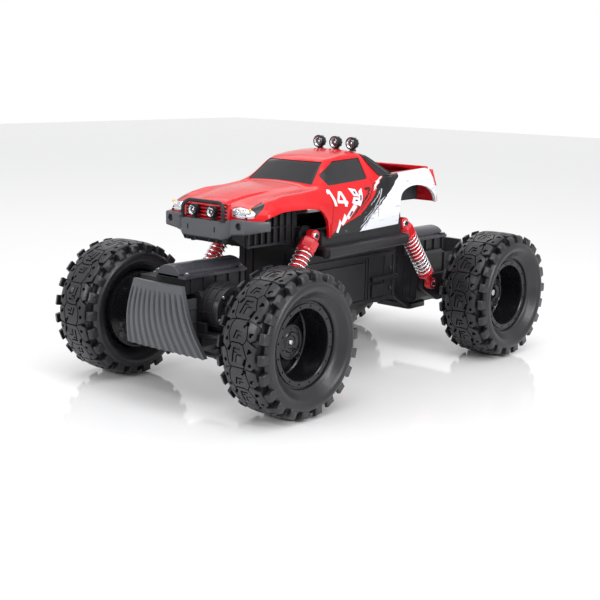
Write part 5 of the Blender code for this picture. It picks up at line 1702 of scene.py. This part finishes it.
def build_steering():
    front = axle_place(-1)
    for side, word in SIDES:
        pivot = front @ Matrix.Translation((side * KINGPIN_X, 0, 0))
        body = f"{word}_knuckle"
        bm = bmesh.new()
        add_prism(bm, round_outline([(-0.005, -0.0072), (0.005, -0.0072), (0.005, 0.0072), (-0.005, 0.0072)],
                                    0.002), -0.01, 0.01, pivot)
        add_lathe(bm, [(0, 0.002), (0.008, 0.002), (0.008, 0.007), (0.0065, 0.0095), (0.0065, 0.029),
                       (0.0036, 0.029), (0.0036, 0.028), (0.0, 0.028)], 28,
                  pivot @ axis_matrix((0, 0, 0), (side, 0, 0)))
        arm = round_outline(
                [(-0.004, -0.004), (0.004, -0.004), (0.0036, -STEER_ARM), (0.002, -0.0352),
                 (-0.002, -0.0352), (-0.0036, -STEER_ARM)], 0.002)
        add_prism(bm, arm, -0.0095, -0.0055, pivot)
        add_box(bm, (-0.0006, -0.03, -0.006), (0.0006, -0.006, -0.003), pivot)
        piece(f"{word}_steering_knuckle", bm, body, "charcoal",
              (f"front_{word}_knuckle",), bevel=0.0003)
        bm = bmesh.new()
        add_rod(bm, (0, 0, -0.0164), (0, 0, 0.0164), 0.0023, 20, None, pivot)
        piece(f"{word}_kingpin", bm, body, "steel")
    bm = bmesh.new()
    z = -0.0165
    add_tube(bm, [front @ Vector((x, -STEER_ARM + dy, z)) for x,
                  dy in ((-0.066, 0), (-0.05, 0), (-0.046, 0), (0.046, 0), (0.05, 0), (0.066, 0))], 0.0021,
             14)
    for side in (1, -1):
        add_lathe(bm, [(0, z - 0.003), (0.004, z - 0.003), (0.0046, z - 0.0022), (0.0046, z + 0.0022),
                       (0.0036, z + 0.003), (0.0022, z + 0.0034), (0.0022, z + 0.0064), (0, z + 0.0064)], 24,
                  front @ Matrix.Translation((side * KINGPIN_X, -STEER_ARM, 0)))
        add_rod(bm, (side * 0.05, -STEER_ARM, z), (side * 0.063, -STEER_ARM, z), 0.003, 6, None, front)
    piece("steering_tie_rod", bm, "tie_rod", "charcoal", ("tie_rod",), bevel=0.0002)
    bm = bmesh.new()
    add_prism(bm, round_outline(
            [(-0.0538, -0.0238), (-0.0264, -0.0238), (-0.0264, 0.0148), (-0.0538, 0.0148)], 0.002), 0.0172,
              0.0398, front)
    add_prism(bm, round_outline([(-0.0545, -0.02), (-0.03, -0.02), (-0.03, 0.011), (-0.0545, 0.011)], 0.002),
              0.03, 0.0318, front)
    for y in (-0.018, -0.009, 0.0, 0.009):
        add_box(bm, (-0.0548, y - 0.0007, 0.019), (-0.0536, y + 0.0007, 0.029), front)
    add_lathe(bm, [(0, 0.0), (0.006, 0.0), (0.006, 0.0022), (0.003, 0.0026), (0.003, 0.0034), (0, 0.0034)],
              24, front @ axis_matrix((-0.04, -0.0238, 0.0245), (0, -1, 0)))
    piece("servo_case", bm, "front_axle", "dark", ("steering_servo",), bevel=0.0003)
    bm = bmesh.new()
    tip = z - 0.0245
    horn = round_outline([(-0.0046, 0.003), (-0.003, tip), (0.003, tip), (0.0046, 0.003)], 0.0028)
    place = front @ Matrix.Translation((-0.04, -STEER_ARM + 0.0035, 0.0245)) @ Matrix.Rotation(pi / 2, 4,
            "X")
    add_prism(bm, horn, -0.001, 0.001, place)
    add_lathe(bm, [(0, -0.0012), (0.0038, -0.0012), (0.0038, 0.0014), (0.003, 0.002), (0, 0.002)], 24, place)
    piece("servo_horn_arm", bm, "servo_horn", "grey", ("servo_horn",), bevel=0.0002)


def build_axles():
    for end in (-1, 1):
        word = "front" if end < 0 else "rear"
        body, place = f"{word}_axle", axle_place(end)
        gearcase(word, body, place, end < 0)
        motor_cover(word, body, place)
        skid_plate(word, body, place)
        trailing_arm(word, body, place)
    build_steering()


FINISH = {"battery_pack": "battery", "circuit_board": "board", "window_insert": "window",
          "power_switch": "grey"}


def main():
    make_materials()
    make_stage()
    make_camera()
    build_wheels()
    build_shafts()
    build_shell()
    build_glass()
    build_decals()
    build_lamps()
    build_headlights()
    build_bumper()
    build_bed()
    build_shocks()
    build_chassis()
    build_axles()
    for name, obj in NODES.items():
        if not obj.hide_render:
            obj.data.materials.clear()
            obj.data.materials.append(MATS[FINISH.get(name, "charcoal")])


main()
